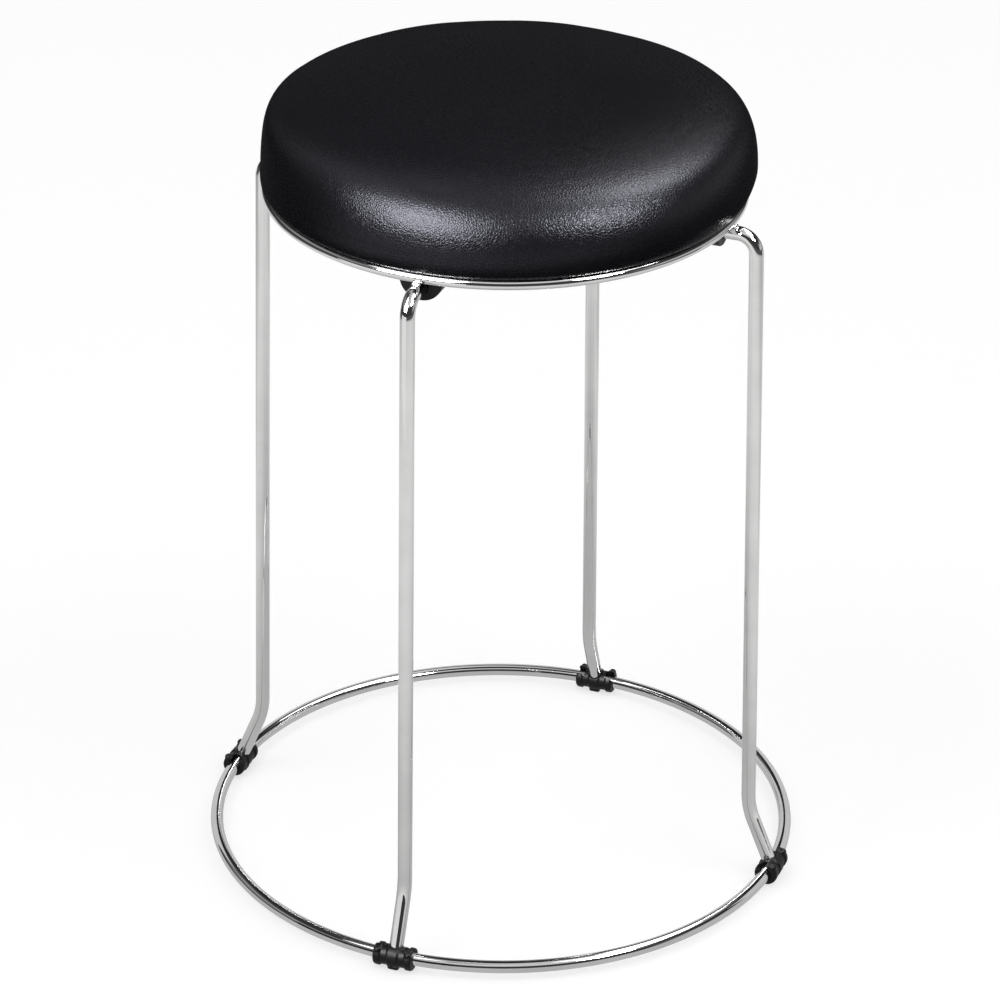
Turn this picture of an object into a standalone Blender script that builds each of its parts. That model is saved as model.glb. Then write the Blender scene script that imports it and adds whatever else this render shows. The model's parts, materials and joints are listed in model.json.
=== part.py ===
"""Stackable round stool: a padded seat screwed to a frame of bent and welded rods.

Metres, +Z up. The origin is on the floor, under the middle of the seat. The legs stand
on the axes: right on +X, back on +Y, left on -X and front on -Y.
"""

import math

import bmesh
import bpy
from mathutils import Matrix, Vector

# Clearance between pieces that touch on the real stool
FIT = 0.0003

# Base ring: the large rod ring that joins the feet
BASE_RING_RADIUS = 0.184
BASE_ROD = 0.0040
BASE_STEPS = 72

# Seat ring: the thin rod ring round the lower edge of the cushion
SEAT_RING_RADIUS = 0.1444
SEAT_ROD = 0.0033
SEAT_RING_RISE = 0.4428
SEAT_STEPS = 48

# Legs: level under the seat, bent down, slightly splayed, and kinked out to the base ring
LEG_ROD = 0.0045
LEG_BEND = 0.012
LEG_SPLAY = math.radians(1.1)
KINK_RISE = 0.040
KINK_BEND = 0.020
LEG_LEVEL_LENGTH = 0.029
ROD_SIDES = 12

# Seat board, its cover's hem and the cloth below it
BOARD_THICKNESS = 0.010
COVER_THICKNESS = 0.0009
HEM_WIDTH = 0.018
CLOTH_THICKNESS = 0.0006
CLOTH_MARGIN = 0.0055

# Cushion: widest above the ring, with a full shoulder and a low crown
CUSHION_BULGE = 0.0055
WIDEST_RISE = 0.0150
SHOULDER_RISE = 0.0392
CROWN_RISE = 0.0060
SHOULDER_POWER = 18.0
TOP_POWER = 2.5
CROWN_RATIO = 0.88
GROOVE_END = math.radians(70)
SKIN_STEPS = (5, 2, 3, 3)
INNER_STEPS = (3, 1, 2, 2)

# Stacking pads: half-round blocks that clamp the legs' level ends to the board
PAD_RADIUS = 0.0135
PAD_INNER_WALL = 0.0115
PAD_RING_GAP = 0.0016
PAD_EDGE = 0.0008

# Screws and the tee nuts in the board
SCREW_SHANK = 0.0020
SCREW_HEAD = 0.0042
SCREW_HEAD_HEIGHT = 0.0026
SCREW_HEAD_SHAPE = ((1.0, 0.55), (0.8, 0.14), (0.45, 0.0))
SCREW_END_WALL = 0.0060
SCREW_SINK = 0.0045
NUT_WALL = 0.0010
NUT_FLANGE = 0.0072
NUT_FLANGE_THICKNESS = 0.0010
NUT_LENGTH = 0.0075

# Foot clips: moulded clips that hug the base ring at each foot
CLIP_WALL = 0.0032
CLIP_NECK_WALL = 0.0023
CLIP_MIDDLE = 0.0080
CLIP_NECK = 0.0038
CLIP_COLLAR = 0.0048
CLIP_EDGE = 0.0008
SOLE_DROP = 0.0005
SOLE_WIDTH = 0.0100
SOLE_EDGE = 0.0015
MOUTH_WIDTH = 0.0064
MOUTH_INTO_NECK = 0.0007
SLIT_WIDTH = 0.0008
BEAD_RADIUS = 0.0024
BEAD_ANGLE = math.radians(64)
BEAD_SEAT = 0.9
DIMPLE_RADIUS = 0.0012
DIMPLE_DEPTH = 0.0006

# Heights that follow from the sizes above
RING_AXIS = BASE_ROD + FIT + CLIP_WALL + SOLE_DROP
SEAT_RING_HEIGHT = RING_AXIS + SEAT_RING_RISE
LEVEL_ROD_TOP = SEAT_RING_HEIGHT - SEAT_ROD - FIT
LEVEL_ROD_AXIS = LEVEL_ROD_TOP - LEG_ROD
CLOTH_BOTTOM = LEVEL_ROD_TOP + FIT
HEM_BOTTOM = CLOTH_BOTTOM + CLOTH_THICKNESS + FIT
BOARD_BOTTOM = HEM_BOTTOM + COVER_THICKNESS + FIT
BOARD_TOP = BOARD_BOTTOM + BOARD_THICKNESS

# Radii that follow from the sizes above
COVER_EDGE_RADIUS = SEAT_RING_RADIUS - SEAT_ROD - FIT
BOARD_RADIUS = COVER_EDGE_RADIUS - COVER_THICKNESS - FIT
WIDEST_RADIUS = SEAT_RING_RADIUS + CUSHION_BULGE
LEG_TOP_RADIUS = SEAT_RING_RADIUS + SEAT_ROD + LEG_BEND
LEG_INNER_END = LEG_TOP_RADIUS - LEG_BEND - LEG_LEVEL_LENGTH
PAD_OUTER_END = SEAT_RING_RADIUS - SEAT_ROD - PAD_RING_GAP
PAD_INNER_END = LEG_INNER_END - PAD_INNER_WALL
SCREW_RADIUS = PAD_INNER_END + SCREW_END_WALL
SCREW_HEAD_SEAT = LEVEL_ROD_TOP - PAD_RADIUS + SCREW_SINK

SIDES = {"right": 0, "back": 90, "left": 180, "front": 270}


def clear_scene():
    for item in list(bpy.data.objects):
        bpy.data.objects.remove(item, do_unlink=True)


def new_collection(name):
    made = bpy.data.collections.new(name)
    bpy.context.scene.collection.children.link(made)
    return made


def make_material(name, colour, roughness, metallic=0.0):
    made = bpy.data.materials.new(name)
    made.use_nodes = True
    shader = made.node_tree.nodes["Principled BSDF"]
    shader.inputs["Base Color"].default_value = (*colour, 1.0)
    shader.inputs["Roughness"].default_value = roughness
    shader.inputs["Metallic"].default_value = metallic
    made.diffuse_color = (*colour, 1.0)
    return made


def move_to(item, collection):
    for old in list(item.users_collection):
        old.objects.unlink(item)
    collection.objects.link(item)


def as_piece(item, name, material, smooth_angle=35):
    """Name a finished solid, colour it and shade its round faces smooth."""
    item.name = name
    item.data.name = name
    item.data.materials.clear()
    item.data.materials.append(material)
    item.data.shade_smooth()
    item.data.set_sharp_from_angle(angle=math.radians(smooth_angle))
    move_to(item, PIECES)
    return item


def as_cutter(item, name):
    """Keep a solid as a tool for Boolean cuts, out of the render."""
    item.name = name
    item.hide_render = True
    item.display_type = "WIRE"
    move_to(item, CUTTERS)
    return item


def object_from_bmesh(name, form):
    mesh = bpy.data.meshes.new(name)
    form.to_mesh(mesh)
    form.free()
    made = bpy.data.objects.new(name, mesh)
    bpy.context.scene.collection.objects.link(made)
    return made


def turned(name, profile, steps):
    """A solid of revolution about Z. The profile runs down its outer side."""
    mesh = bpy.data.meshes.new(name)
    points = [(r, 0.0, z) for r, z in profile]
    edges = [(i, i + 1) for i in range(len(points) - 1)]
    if profile[0][0] > 0:
        edges.append((len(points) - 1, 0))
    mesh.from_pydata(points, edges, [])
    made = bpy.data.objects.new(name, mesh)
    bpy.context.scene.collection.objects.link(made)
    screw = made.modifiers.new("Turn", "SCREW")
    screw.steps = steps
    screw.render_steps = steps
    screw.use_merge_vertices = True
    screw.merge_threshold = 0.00001
    return made


def ring(name, radius, rod, steps, height):
    bpy.ops.mesh.primitive_torus_add(
        major_segments=steps,
        minor_segments=ROD_SIDES,
        major_radius=radius,
        minor_radius=rod,
        location=(0, 0, height),
    )
    made = bpy.context.object
    made.name = name
    return made


def cylinder(name, radius, start, end, sides):
    """A round bar from one point to another."""
    start, end = Vector(start), Vector(end)
    form = bmesh.new()
    bmesh.ops.create_cone(
        form,
        cap_ends=True,
        segments=sides,
        radius1=radius,
        radius2=radius,
        depth=(end - start).length,
    )
    made = object_from_bmesh(name, form)
    made.rotation_mode = "QUATERNION"
    made.rotation_quaternion = (end - start).to_track_quat("Z", "X")
    made.location = (start + end) / 2
    return made


def block(name, size, location, tilt=0.0):
    """A box, turned about Y by tilt."""
    form = bmesh.new()
    bmesh.ops.create_cube(form, size=1.0)
    bmesh.ops.scale(form, vec=size, verts=form.verts)
    made = object_from_bmesh(name, form)
    made.rotation_euler = (0, tilt, 0)
    made.location = location
    return made


def arc_points(radius, start, end, steps):
    """Points on an arc about the origin, as (y, z)."""
    angles = [start + (end - start) * step / steps for step in range(steps + 1)]
    return [(radius * math.cos(a), radius * math.sin(a)) for a in angles]


def bar(name, outline, start, end, height):
    """A straight bar along X whose section is the outline of (y, z) about a height."""
    form = bmesh.new()
    section = [form.verts.new((start, y, height + z)) for y, z in outline]
    face = form.faces.new(section)
    pushed = bmesh.ops.extrude_face_region(form, geom=[face])["geom"]
    moved = [item for item in pushed if isinstance(item, bmesh.types.BMVert)]
    bmesh.ops.translate(form, vec=(end - start, 0, 0), verts=moved)
    bmesh.ops.recalc_face_normals(form, faces=form.faces)
    return object_from_bmesh(name, form)


def combine(item, tool, operation):
    change = item.modifiers.new(operation.title(), "BOOLEAN")
    change.operation = operation
    change.solver = "EXACT"
    change.object = tool


def cut(item, tool):
    combine(item, tool, "DIFFERENCE")


def join(item, tool):
    combine(item, tool, "UNION")


def round_edges(item, width, segments, angle):
    bevel = item.modifiers.new("Round", "BEVEL")
    bevel.width = width
    bevel.segments = segments
    bevel.limit_method = "ANGLE"
    bevel.angle_limit = angle


def apply_modifiers(item):
    """Make the evaluated shape the item's own mesh, in world space."""
    bpy.context.view_layer.update()
    evaluated = item.evaluated_get(bpy.context.evaluated_depsgraph_get())
    mesh = bpy.data.meshes.new_from_object(evaluated)
    mesh.transform(item.matrix_world)
    item.modifiers.clear()
    item.data = mesh
    item.rotation_mode = "XYZ"
    item.matrix_world = Matrix.Identity(4)
    return item


def bent_path(corners, bends, steps_per_turn=28):
    """Points along straight runs in the XZ plane, with an arc at each inner corner."""
    corners = [Vector((r, 0.0, z)) for r, z in corners]
    path = [corners[0]]
    for before, corner, after, bend in zip(corners, corners[1:], corners[2:], bends):
        towards, away = (corner - before).normalized(), (after - corner).normalized()
        turn = towards.angle(away)
        reach = bend * math.tan(turn / 2)
        centre = corner + (away - towards).normalized() * bend / math.cos(turn / 2)
        first = corner - towards * reach - centre
        axis = towards.cross(away)
        steps = max(3, round(steps_per_turn * turn / (2 * math.pi)))
        for step in range(steps + 1):
            spin = Matrix.Rotation(turn * step / steps, 3, axis)
            path.append(centre + spin @ first)
    path.append(corners[-1])
    return path


def bent_rod(name, path, radius):
    """A round rod along the path, as a closed mesh."""
    curve = bpy.data.curves.new(name, "CURVE")
    curve.dimensions = "3D"
    curve.bevel_depth = radius
    curve.bevel_resolution = (ROD_SIDES - 4) // 2
    curve.use_fill_caps = True
    spline = curve.splines.new("POLY")
    spline.points.add(len(path) - 1)
    for point, place in zip(spline.points, path):
        point.co = (*place, 1.0)
    guide = bpy.data.objects.new(name, curve)
    bpy.context.scene.collection.objects.link(guide)
    bpy.context.view_layer.update()
    evaluated = guide.evaluated_get(bpy.context.evaluated_depsgraph_get())
    form = bmesh.new()
    form.from_mesh(bpy.data.meshes.new_from_object(evaluated))
    form.transform(guide.matrix_world)
    bmesh.ops.remove_doubles(form, verts=form.verts, dist=0.00001)
    bpy.data.objects.remove(guide, do_unlink=True)
    return object_from_bmesh(name, form)


def copies(item, name, material):
    """Four copies of a piece made at the right side, one at each leg, on one mesh."""
    as_piece(item, f"{name}_right", material)
    for side, degrees in SIDES.items():
        if side == "right":
            continue
        made = bpy.data.objects.new(f"{name}_{side}", item.data)
        made.rotation_euler = (0, 0, math.radians(degrees))
        PIECES.objects.link(made)


def leg_corners():
    """The leg's corners as (radius, height), from under the seat to the base ring."""
    slope = math.tan(LEG_SPLAY)
    kink_height = RING_AXIS + KINK_RISE
    top = (LEG_TOP_RADIUS + slope * (SEAT_RING_HEIGHT - LEVEL_ROD_AXIS), LEVEL_ROD_AXIS)
    kink = (LEG_TOP_RADIUS + slope * (SEAT_RING_HEIGHT - kink_height), kink_height)
    return [(LEG_INNER_END, LEVEL_ROD_AXIS), top, kink, (BASE_RING_RADIUS, RING_AXIS)]


def foot_direction():
    """Unit vector from the base ring's axis up along the leg's foot."""
    kink, foot = leg_corners()[2:]
    return Vector((kink[0] - foot[0], 0.0, kink[1] - foot[1])).normalized()


def base_ring_bore():
    tool = ring("base_ring_bore", BASE_RING_RADIUS, BASE_ROD + FIT, BASE_STEPS, RING_AXIS)
    return as_cutter(tool, "base_ring_bore")


def make_legs(material):
    """Each leg's foot is coped to sit on the base ring, where it is welded."""
    corners = leg_corners()
    foot = Vector((corners[3][0], 0.0, corners[3][1])) + foot_direction() * BASE_ROD / 2
    corners[3] = (foot.x, foot.z)
    leg = bent_rod("leg", bent_path(corners, (LEG_BEND, KINK_BEND)), LEG_ROD)
    cut(leg, base_ring_bore())
    copies(apply_modifiers(leg), "leg", material)


def cushion_top(share):
    """Height of the cushion's skin above its widest line, at a share of its radius."""
    shoulder = (1 - share**SHOULDER_POWER) ** (1 / TOP_POWER)
    return SHOULDER_RISE * shoulder + CROWN_RISE * (1 - share**2)


def cushion_outline(shoulder_steps, crown_steps, bulge_steps, groove_steps):
    """The cover's outer section as (radius, height), from the crown to the board's edge."""
    widest = SEAT_RING_HEIGHT + WIDEST_RISE
    outline = []
    for step in range(crown_steps):
        share = CROWN_RATIO * step / crown_steps
        outline.append((WIDEST_RADIUS * share, widest + cushion_top(share)))
    for step in range(shoulder_steps + 1):
        first = math.acos(CROWN_RATIO ** (SHOULDER_POWER / 2))
        share = math.cos(first * (1 - step / shoulder_steps)) ** (2 / SHOULDER_POWER)
        outline.append((WIDEST_RADIUS * share, widest + cushion_top(min(share, 1.0))))
    groove = SEAT_ROD + FIT
    groove_out = SEAT_RING_RADIUS + groove * math.cos(GROOVE_END)
    groove_top = SEAT_RING_HEIGHT + groove * math.sin(GROOVE_END)
    for step in range(1, bulge_steps + 1):
        angle = math.pi / 2 * step / bulge_steps
        radius = groove_out + (WIDEST_RADIUS - groove_out) * math.cos(angle)
        outline.append((radius, widest - (widest - groove_top) * math.sin(angle)))
    for step in range(1, groove_steps + 1):
        angle = GROOVE_END + (math.pi - GROOVE_END) * step / groove_steps
        radius = SEAT_RING_RADIUS + groove * math.cos(angle)
        outline.append((radius, SEAT_RING_HEIGHT + groove * math.sin(angle)))
    return outline


def inset(outline, depth):
    """The outline moved inwards by depth. Its first point stays on the axis."""
    moved = [(0.0, outline[0][1] - depth)]
    for before, here, after in zip(outline, outline[1:], outline[2:]):
        run = (Vector(here) - Vector(before)).normalized()
        run_on = (Vector(after) - Vector(here)).normalized()
        normal = Vector((run.y + run_on.y, -run.x - run_on.x)).normalized()
        scale = depth / max(0.5, normal.dot(Vector((run.y, -run.x))))
        moved.append((here[0] + normal.x * scale, here[1] + normal.y * scale))
    last = outline[-1]
    moved.append((last[0] - depth, last[1]))
    return moved


def make_seat_cover(material):
    """The skin over the foam, with its hem turned in under the board."""
    corner = COVER_THICKNESS
    hem_inner = COVER_EDGE_RADIUS - HEM_WIDTH
    hem_top = HEM_BOTTOM + COVER_THICKNESS
    profile = cushion_outline(*SKIN_STEPS)
    profile += [
        (COVER_EDGE_RADIUS, HEM_BOTTOM + corner),
        (COVER_EDGE_RADIUS - corner, HEM_BOTTOM),
        (hem_inner, HEM_BOTTOM),
        (hem_inner, hem_top),
        (COVER_EDGE_RADIUS - COVER_THICKNESS, hem_top),
    ]
    profile += reversed(inset(cushion_outline(*INNER_STEPS), COVER_THICKNESS))
    as_piece(turned("seat_cover", profile, SEAT_STEPS), "seat_cover", material)


def make_seat_foam(material):
    """The foam fills the cover, with a skirt that reaches down round the board's edge."""
    skirt_inner = BOARD_RADIUS + FIT
    skirt_bottom = SEAT_RING_HEIGHT + SEAT_ROD
    skin = inset(cushion_outline(*INNER_STEPS), COVER_THICKNESS + FIT)
    profile = [point for point in skin if point[0] < skirt_inner or point[1] > skirt_bottom]
    profile += [
        (skirt_inner, skirt_bottom + SEAT_ROD / 2),
        (skirt_inner, BOARD_TOP + FIT),
        (0.0, BOARD_TOP + FIT),
    ]
    as_piece(turned("seat_foam", profile, SEAT_STEPS), "seat_foam", material)


def at_screws(radius, bottom, top, sides, name):
    """One bar at each screw, as cutters."""
    tools = []
    for side, degrees in SIDES.items():
        spot = Matrix.Rotation(math.radians(degrees), 3, "Z") @ Vector((SCREW_RADIUS, 0, 0))
        start, end = spot + Vector((0, 0, bottom)), spot + Vector((0, 0, top))
        tools.append(as_cutter(cylinder(name, radius, start, end, sides), f"{name}_{side}"))
    return tools


def make_seat_board(material):
    """A plywood disc with a stepped hole for each tee nut."""
    centre = (0, 0, (BOARD_BOTTOM + BOARD_TOP) / 2)
    bpy.ops.mesh.primitive_cylinder_add(
        vertices=SEAT_STEPS, radius=BOARD_RADIUS, depth=BOARD_THICKNESS, location=centre
    )
    board = as_piece(bpy.context.object, "seat_board", material)
    barrel = SCREW_SHANK + FIT + NUT_WALL + FIT
    recess_floor = BOARD_TOP - NUT_FLANGE_THICKNESS - FIT
    margin = BOARD_THICKNESS
    holes = at_screws(barrel, BOARD_BOTTOM - margin, BOARD_TOP + margin, 12, "nut_hole")
    holes += at_screws(NUT_FLANGE + FIT, recess_floor, BOARD_TOP + margin, 16, "nut_recess")
    for tool in holes:
        cut(board, tool)


def make_bottom_cloth(material):
    """A thin disc stapled over the hem, which hides the board."""
    centre = (0, 0, CLOTH_BOTTOM + CLOTH_THICKNESS / 2)
    bpy.ops.mesh.primitive_cylinder_add(
        vertices=SEAT_STEPS,
        radius=BOARD_RADIUS - CLOTH_MARGIN,
        depth=CLOTH_THICKNESS,
        location=centre,
    )
    cloth = as_piece(bpy.context.object, "bottom_cloth", material)
    low, high = CLOTH_BOTTOM - CLOTH_THICKNESS, CLOTH_BOTTOM + 2 * CLOTH_THICKNESS
    for tool in at_screws(SCREW_SHANK + FIT, low, high, 12, "cloth_hole"):
        cut(cloth, tool)


def make_stacking_pads(material):
    """Half-round blocks with a channel for the leg and a sunk hole for the screw."""
    half_round = arc_points(PAD_RADIUS, math.pi, 2 * math.pi, 20)
    pad = bar("stacking_pad", half_round, PAD_INNER_END, PAD_OUTER_END, LEVEL_ROD_TOP)
    round_edges(pad, PAD_EDGE, 2, math.radians(50))
    channel = LEG_ROD + FIT
    trough = arc_points(channel, math.pi, 2 * math.pi, 10)
    trough += [(channel, PAD_RADIUS), (-channel, PAD_RADIUS)]
    start, end = LEG_INNER_END - FIT, PAD_OUTER_END + PAD_RADIUS
    cut(pad, as_cutter(bar("pad_channel", trough, start, end, LEVEL_ROD_AXIS), "pad_channel"))
    low, high = SCREW_HEAD_SEAT - PAD_RADIUS, LEVEL_ROD_TOP + PAD_RADIUS
    for radius, top in ((SCREW_SHANK + FIT, high), (SCREW_HEAD + FIT, SCREW_HEAD_SEAT - FIT)):
        start, end = (SCREW_RADIUS, 0, low), (SCREW_RADIUS, 0, top)
        cut(pad, as_cutter(cylinder("pad_hole", radius, start, end, 16), "pad_hole"))
    copies(apply_modifiers(pad), "stacking_pad", material)


def make_seat_screws(material):
    """Pan-head screws, up through the pads and the board into the tee nuts."""
    head_seat = SCREW_HEAD_SEAT - 2 * FIT
    head_bottom = head_seat - SCREW_HEAD_HEIGHT
    tip = BOARD_TOP - NUT_FLANGE_THICKNESS
    profile = [
        (0.0, tip),
        (SCREW_SHANK * 0.7, tip),
        (SCREW_SHANK, tip - SCREW_SHANK * 0.5),
        (SCREW_SHANK, head_seat),
        (SCREW_HEAD, head_seat),
    ]
    for width, rise in SCREW_HEAD_SHAPE:
        profile.append((SCREW_HEAD * width, head_bottom + SCREW_HEAD_HEIGHT * rise))
    profile.append((0.0, head_bottom))
    screw = turned("seat_screw", profile, 12)
    screw.location.x = SCREW_RADIUS
    copies(apply_modifiers(screw), "seat_screw", material)


def make_tee_nuts(material):
    """Flanged barrels let into the board's top."""
    bore = SCREW_SHANK + FIT
    top = BOARD_TOP
    flange_bottom = top - NUT_FLANGE_THICKNESS
    bottom = top - NUT_LENGTH
    profile = [
        (bore, top),
        (NUT_FLANGE, top),
        (NUT_FLANGE, flange_bottom),
        (bore + NUT_WALL, flange_bottom),
        (bore + NUT_WALL, bottom),
        (bore, bottom),
    ]
    nut = turned("tee_nut", profile, 12)
    nut.location.x = SCREW_RADIUS
    copies(apply_modifiers(nut), "tee_nut", material)


def clip_profile():
    """Half-length section of a foot clip: middle band, neck, end collar with soft edges."""
    wall = BASE_ROD + FIT + CLIP_WALL
    neck = BASE_ROD + FIT + CLIP_NECK_WALL
    band = CLIP_MIDDLE / 2
    collar = band + CLIP_NECK
    end = collar + CLIP_COLLAR
    edge = CLIP_EDGE
    half = [
        (0.0, end),
        (wall - 2 * edge, end),
        (wall - edge * 0.5, end - edge * 0.6),
        (wall, end - 2 * edge),
        (wall, collar + edge),
        (neck, collar),
        (neck, band + edge / 2),
        (wall, band - edge / 2),
    ]
    return half + [(r, -z) for r, z in reversed(half)]


def make_foot_clips(material):
    """Moulded clips: a banded barrel round the base ring with a flat sole.

    The neck straps close over the ring beside the leg but for a slit. The end collars
    stay open above, and each has a bead that holds the ring from its outer side.
    """
    axis = Vector((BASE_RING_RADIUS, 0.0, RING_AXIS))
    up_leg = foot_direction()
    lean = math.atan2(up_leg.x, up_leg.z)
    bore_middle = axis - up_leg * BASE_ROD / 3
    wall = BASE_ROD + FIT + CLIP_WALL
    length = CLIP_MIDDLE + 2 * CLIP_NECK + 2 * CLIP_COLLAR

    clip = turned("foot_clip", clip_profile(), 20)
    clip.rotation_euler = (-math.pi / 2, lean, 0)
    clip.location = axis
    apply_modifiers(clip)

    sole_size = (SOLE_WIDTH, CLIP_MIDDLE, RING_AXIS - BASE_ROD / 2)
    sole = block("clip_sole", sole_size, (BASE_RING_RADIUS, 0, sole_size[2] / 2))
    round_edges(sole, SOLE_EDGE, 2, math.radians(50))
    join(clip, as_cutter(sole, "clip_sole"))

    outward = Matrix.Rotation(BEAD_ANGLE, 3, "Y") @ up_leg
    for sign in (-1, 1):
        form = bmesh.new()
        bmesh.ops.create_uvsphere(form, u_segments=12, v_segments=8, radius=BEAD_RADIUS)
        bead = object_from_bmesh("clip_bead", form)
        bead.rotation_euler = (0, lean, 0)
        bead.location = axis + outward * (BASE_ROD + FIT + BEAD_RADIUS * BEAD_SEAT)
        bead.location.y = sign * (length - CLIP_COLLAR) / 2
        join(clip, as_cutter(bead, "clip_bead"))

    cut(clip, base_ring_bore())

    mouth_start = CLIP_MIDDLE / 2 + CLIP_NECK - MOUTH_INTO_NECK
    mouth_size = (MOUTH_WIDTH, length - mouth_start, 3 * wall)
    for sign in (-1, 1):
        centre = bore_middle + up_leg * mouth_size[2] / 2
        centre.y = sign * (mouth_start + mouth_size[1] / 2)
        cut(clip, as_cutter(block("clip_mouth", mouth_size, centre, lean), "clip_mouth"))

    slit_size = (SLIT_WIDTH, 2 * length, 3 * wall)
    slit_centre = bore_middle + up_leg * slit_size[2] / 2
    cut(clip, as_cutter(block("clip_slit", slit_size, slit_centre, lean), "clip_slit"))

    leg_end = axis + up_leg * KINK_RISE
    leg_room = cylinder("clip_leg_room", LEG_ROD + FIT, axis, leg_end, 16)
    cut(clip, as_cutter(leg_room, "clip_leg_room"))

    dimple_out = axis + Vector((2 * wall, 0, -BASE_ROD))
    dimple_in = axis + Vector((math.sqrt(wall**2 - BASE_ROD**2) - DIMPLE_DEPTH, 0, -BASE_ROD))
    dimple = cylinder("clip_dimple", DIMPLE_RADIUS, dimple_in, dimple_out, 10)
    cut(clip, as_cutter(dimple, "clip_dimple"))
    copies(apply_modifiers(clip), "foot_clip", material)


clear_scene()
PIECES = new_collection("round_stool")
CUTTERS = new_collection("cutters")

VINYL = make_material("black_vinyl", (0.012, 0.012, 0.015), 0.42)
FOAM = make_material("seat_foam", (0.80, 0.74, 0.58), 0.95)
PLYWOOD = make_material("plywood", (0.55, 0.38, 0.22), 0.70)
CLOTH = make_material("bottom_cloth", (0.02, 0.02, 0.02), 0.95)
CHROME = make_material("chrome", (0.62, 0.62, 0.63), 0.08, 1.0)
PLASTIC = make_material("black_plastic", (0.018, 0.018, 0.020), 0.50)
ZINC = make_material("zinc_plate", (0.62, 0.62, 0.60), 0.35, 1.0)

seat_ring = ring("seat_ring", SEAT_RING_RADIUS, SEAT_ROD, SEAT_STEPS, SEAT_RING_HEIGHT)
base_ring = ring("base_ring", BASE_RING_RADIUS, BASE_ROD, BASE_STEPS, RING_AXIS)
as_piece(seat_ring, "seat_ring", CHROME)
as_piece(base_ring, "base_ring", CHROME)
make_legs(CHROME)
make_seat_cover(VINYL)
make_seat_foam(FOAM)
make_seat_board(PLYWOOD)
make_bottom_cloth(CLOTH)
make_stacking_pads(PLASTIC)
make_seat_screws(ZINC)
make_tee_nuts(ZINC)
make_foot_clips(PLASTIC)
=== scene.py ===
"""Stackable round stool: the dressed model, its studio and its camera.

Metres, +Z up. The legs stand on the axes: right on +X, back on +Y, left on -X, front on -Y.
Every piece stands where the frame's solids are.
"""

import json
import math
import random

import bmesh
import bpy
import numpy as np
from mathutils import Matrix, Vector, noise

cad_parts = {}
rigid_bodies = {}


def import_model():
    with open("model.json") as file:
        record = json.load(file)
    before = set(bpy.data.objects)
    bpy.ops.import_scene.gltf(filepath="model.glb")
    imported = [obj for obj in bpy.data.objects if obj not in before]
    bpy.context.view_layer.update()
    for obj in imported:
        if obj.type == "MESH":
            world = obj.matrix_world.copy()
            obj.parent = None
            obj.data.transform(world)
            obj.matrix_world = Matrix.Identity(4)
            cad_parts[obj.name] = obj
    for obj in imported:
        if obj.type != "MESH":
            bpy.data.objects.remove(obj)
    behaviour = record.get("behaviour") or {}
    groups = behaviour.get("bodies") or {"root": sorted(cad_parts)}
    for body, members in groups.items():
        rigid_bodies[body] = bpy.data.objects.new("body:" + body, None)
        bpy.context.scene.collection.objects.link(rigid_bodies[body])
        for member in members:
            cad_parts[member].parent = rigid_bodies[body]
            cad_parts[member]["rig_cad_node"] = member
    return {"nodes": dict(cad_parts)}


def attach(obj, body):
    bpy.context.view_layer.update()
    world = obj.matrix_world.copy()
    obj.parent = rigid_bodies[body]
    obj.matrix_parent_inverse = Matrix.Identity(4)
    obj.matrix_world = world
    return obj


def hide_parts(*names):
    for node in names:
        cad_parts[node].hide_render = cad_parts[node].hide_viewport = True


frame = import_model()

SIDES = {"right": 0, "back": 90, "left": 180, "front": 270}

# Sizes of the frame, as in its solids
FIT = 0.0003
BASE_RING_RADIUS = 0.184
BASE_ROD = 0.0040
SEAT_RING_RADIUS = 0.1444
SEAT_ROD = 0.0033
SEAT_RING_RISE = 0.4428
LEG_ROD = 0.0045
LEG_BEND = 0.012
LEG_SPLAY = math.radians(1.1)
KINK_RISE = 0.040
LEG_LEVEL_LENGTH = 0.029
BOARD_THICKNESS = 0.010
COVER_THICKNESS = 0.0009
HEM_WIDTH = 0.018
CLOTH_THICKNESS = 0.0006
CLOTH_MARGIN = 0.0055
CUSHION_BULGE = 0.0055
WIDEST_RISE = 0.0154
GROOVE_END = math.radians(70)
PAD_RADIUS = 0.0135
PAD_INNER_WALL = 0.0115
PAD_RING_GAP = 0.0016
SCREW_SHANK = 0.0020
SCREW_HEAD = 0.0042
SCREW_HEAD_HEIGHT = 0.0026
SCREW_END_WALL = 0.0060
SCREW_SINK = 0.0045
CLIP_WALL = 0.0032
CLIP_NECK_WALL = 0.0023
CLIP_MIDDLE = 0.0080
CLIP_NECK = 0.0038
CLIP_COLLAR = 0.0048
SOLE_DROP = 0.0005
SOLE_WIDTH = 0.0100
MOUTH_WIDTH = 0.0064
MOUTH_INTO_NECK = 0.0007
SLIT_WIDTH = 0.0008
BEAD_RADIUS = 0.0024
BEAD_ANGLE = math.radians(64)
DIMPLE_RADIUS = 0.0012
DIMPLE_DEPTH = 0.0006

# Heights and radii that follow
RING_AXIS = BASE_ROD + FIT + CLIP_WALL + SOLE_DROP
SEAT_RING_HEIGHT = RING_AXIS + SEAT_RING_RISE
LEVEL_ROD_TOP = SEAT_RING_HEIGHT - SEAT_ROD - FIT
LEVEL_ROD_AXIS = LEVEL_ROD_TOP - LEG_ROD
CLOTH_BOTTOM = LEVEL_ROD_TOP + FIT
HEM_BOTTOM = CLOTH_BOTTOM + CLOTH_THICKNESS + FIT
HEM_TOP = HEM_BOTTOM + COVER_THICKNESS
BOARD_TOP = HEM_TOP + FIT + BOARD_THICKNESS
COVER_EDGE_RADIUS = SEAT_RING_RADIUS - SEAT_ROD - FIT
BOARD_RADIUS = COVER_EDGE_RADIUS - COVER_THICKNESS - FIT
HEM_INNER_RADIUS = COVER_EDGE_RADIUS - HEM_WIDTH
WIDEST_RADIUS = SEAT_RING_RADIUS + CUSHION_BULGE
WIDEST_HEIGHT = SEAT_RING_HEIGHT + WIDEST_RISE
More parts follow.
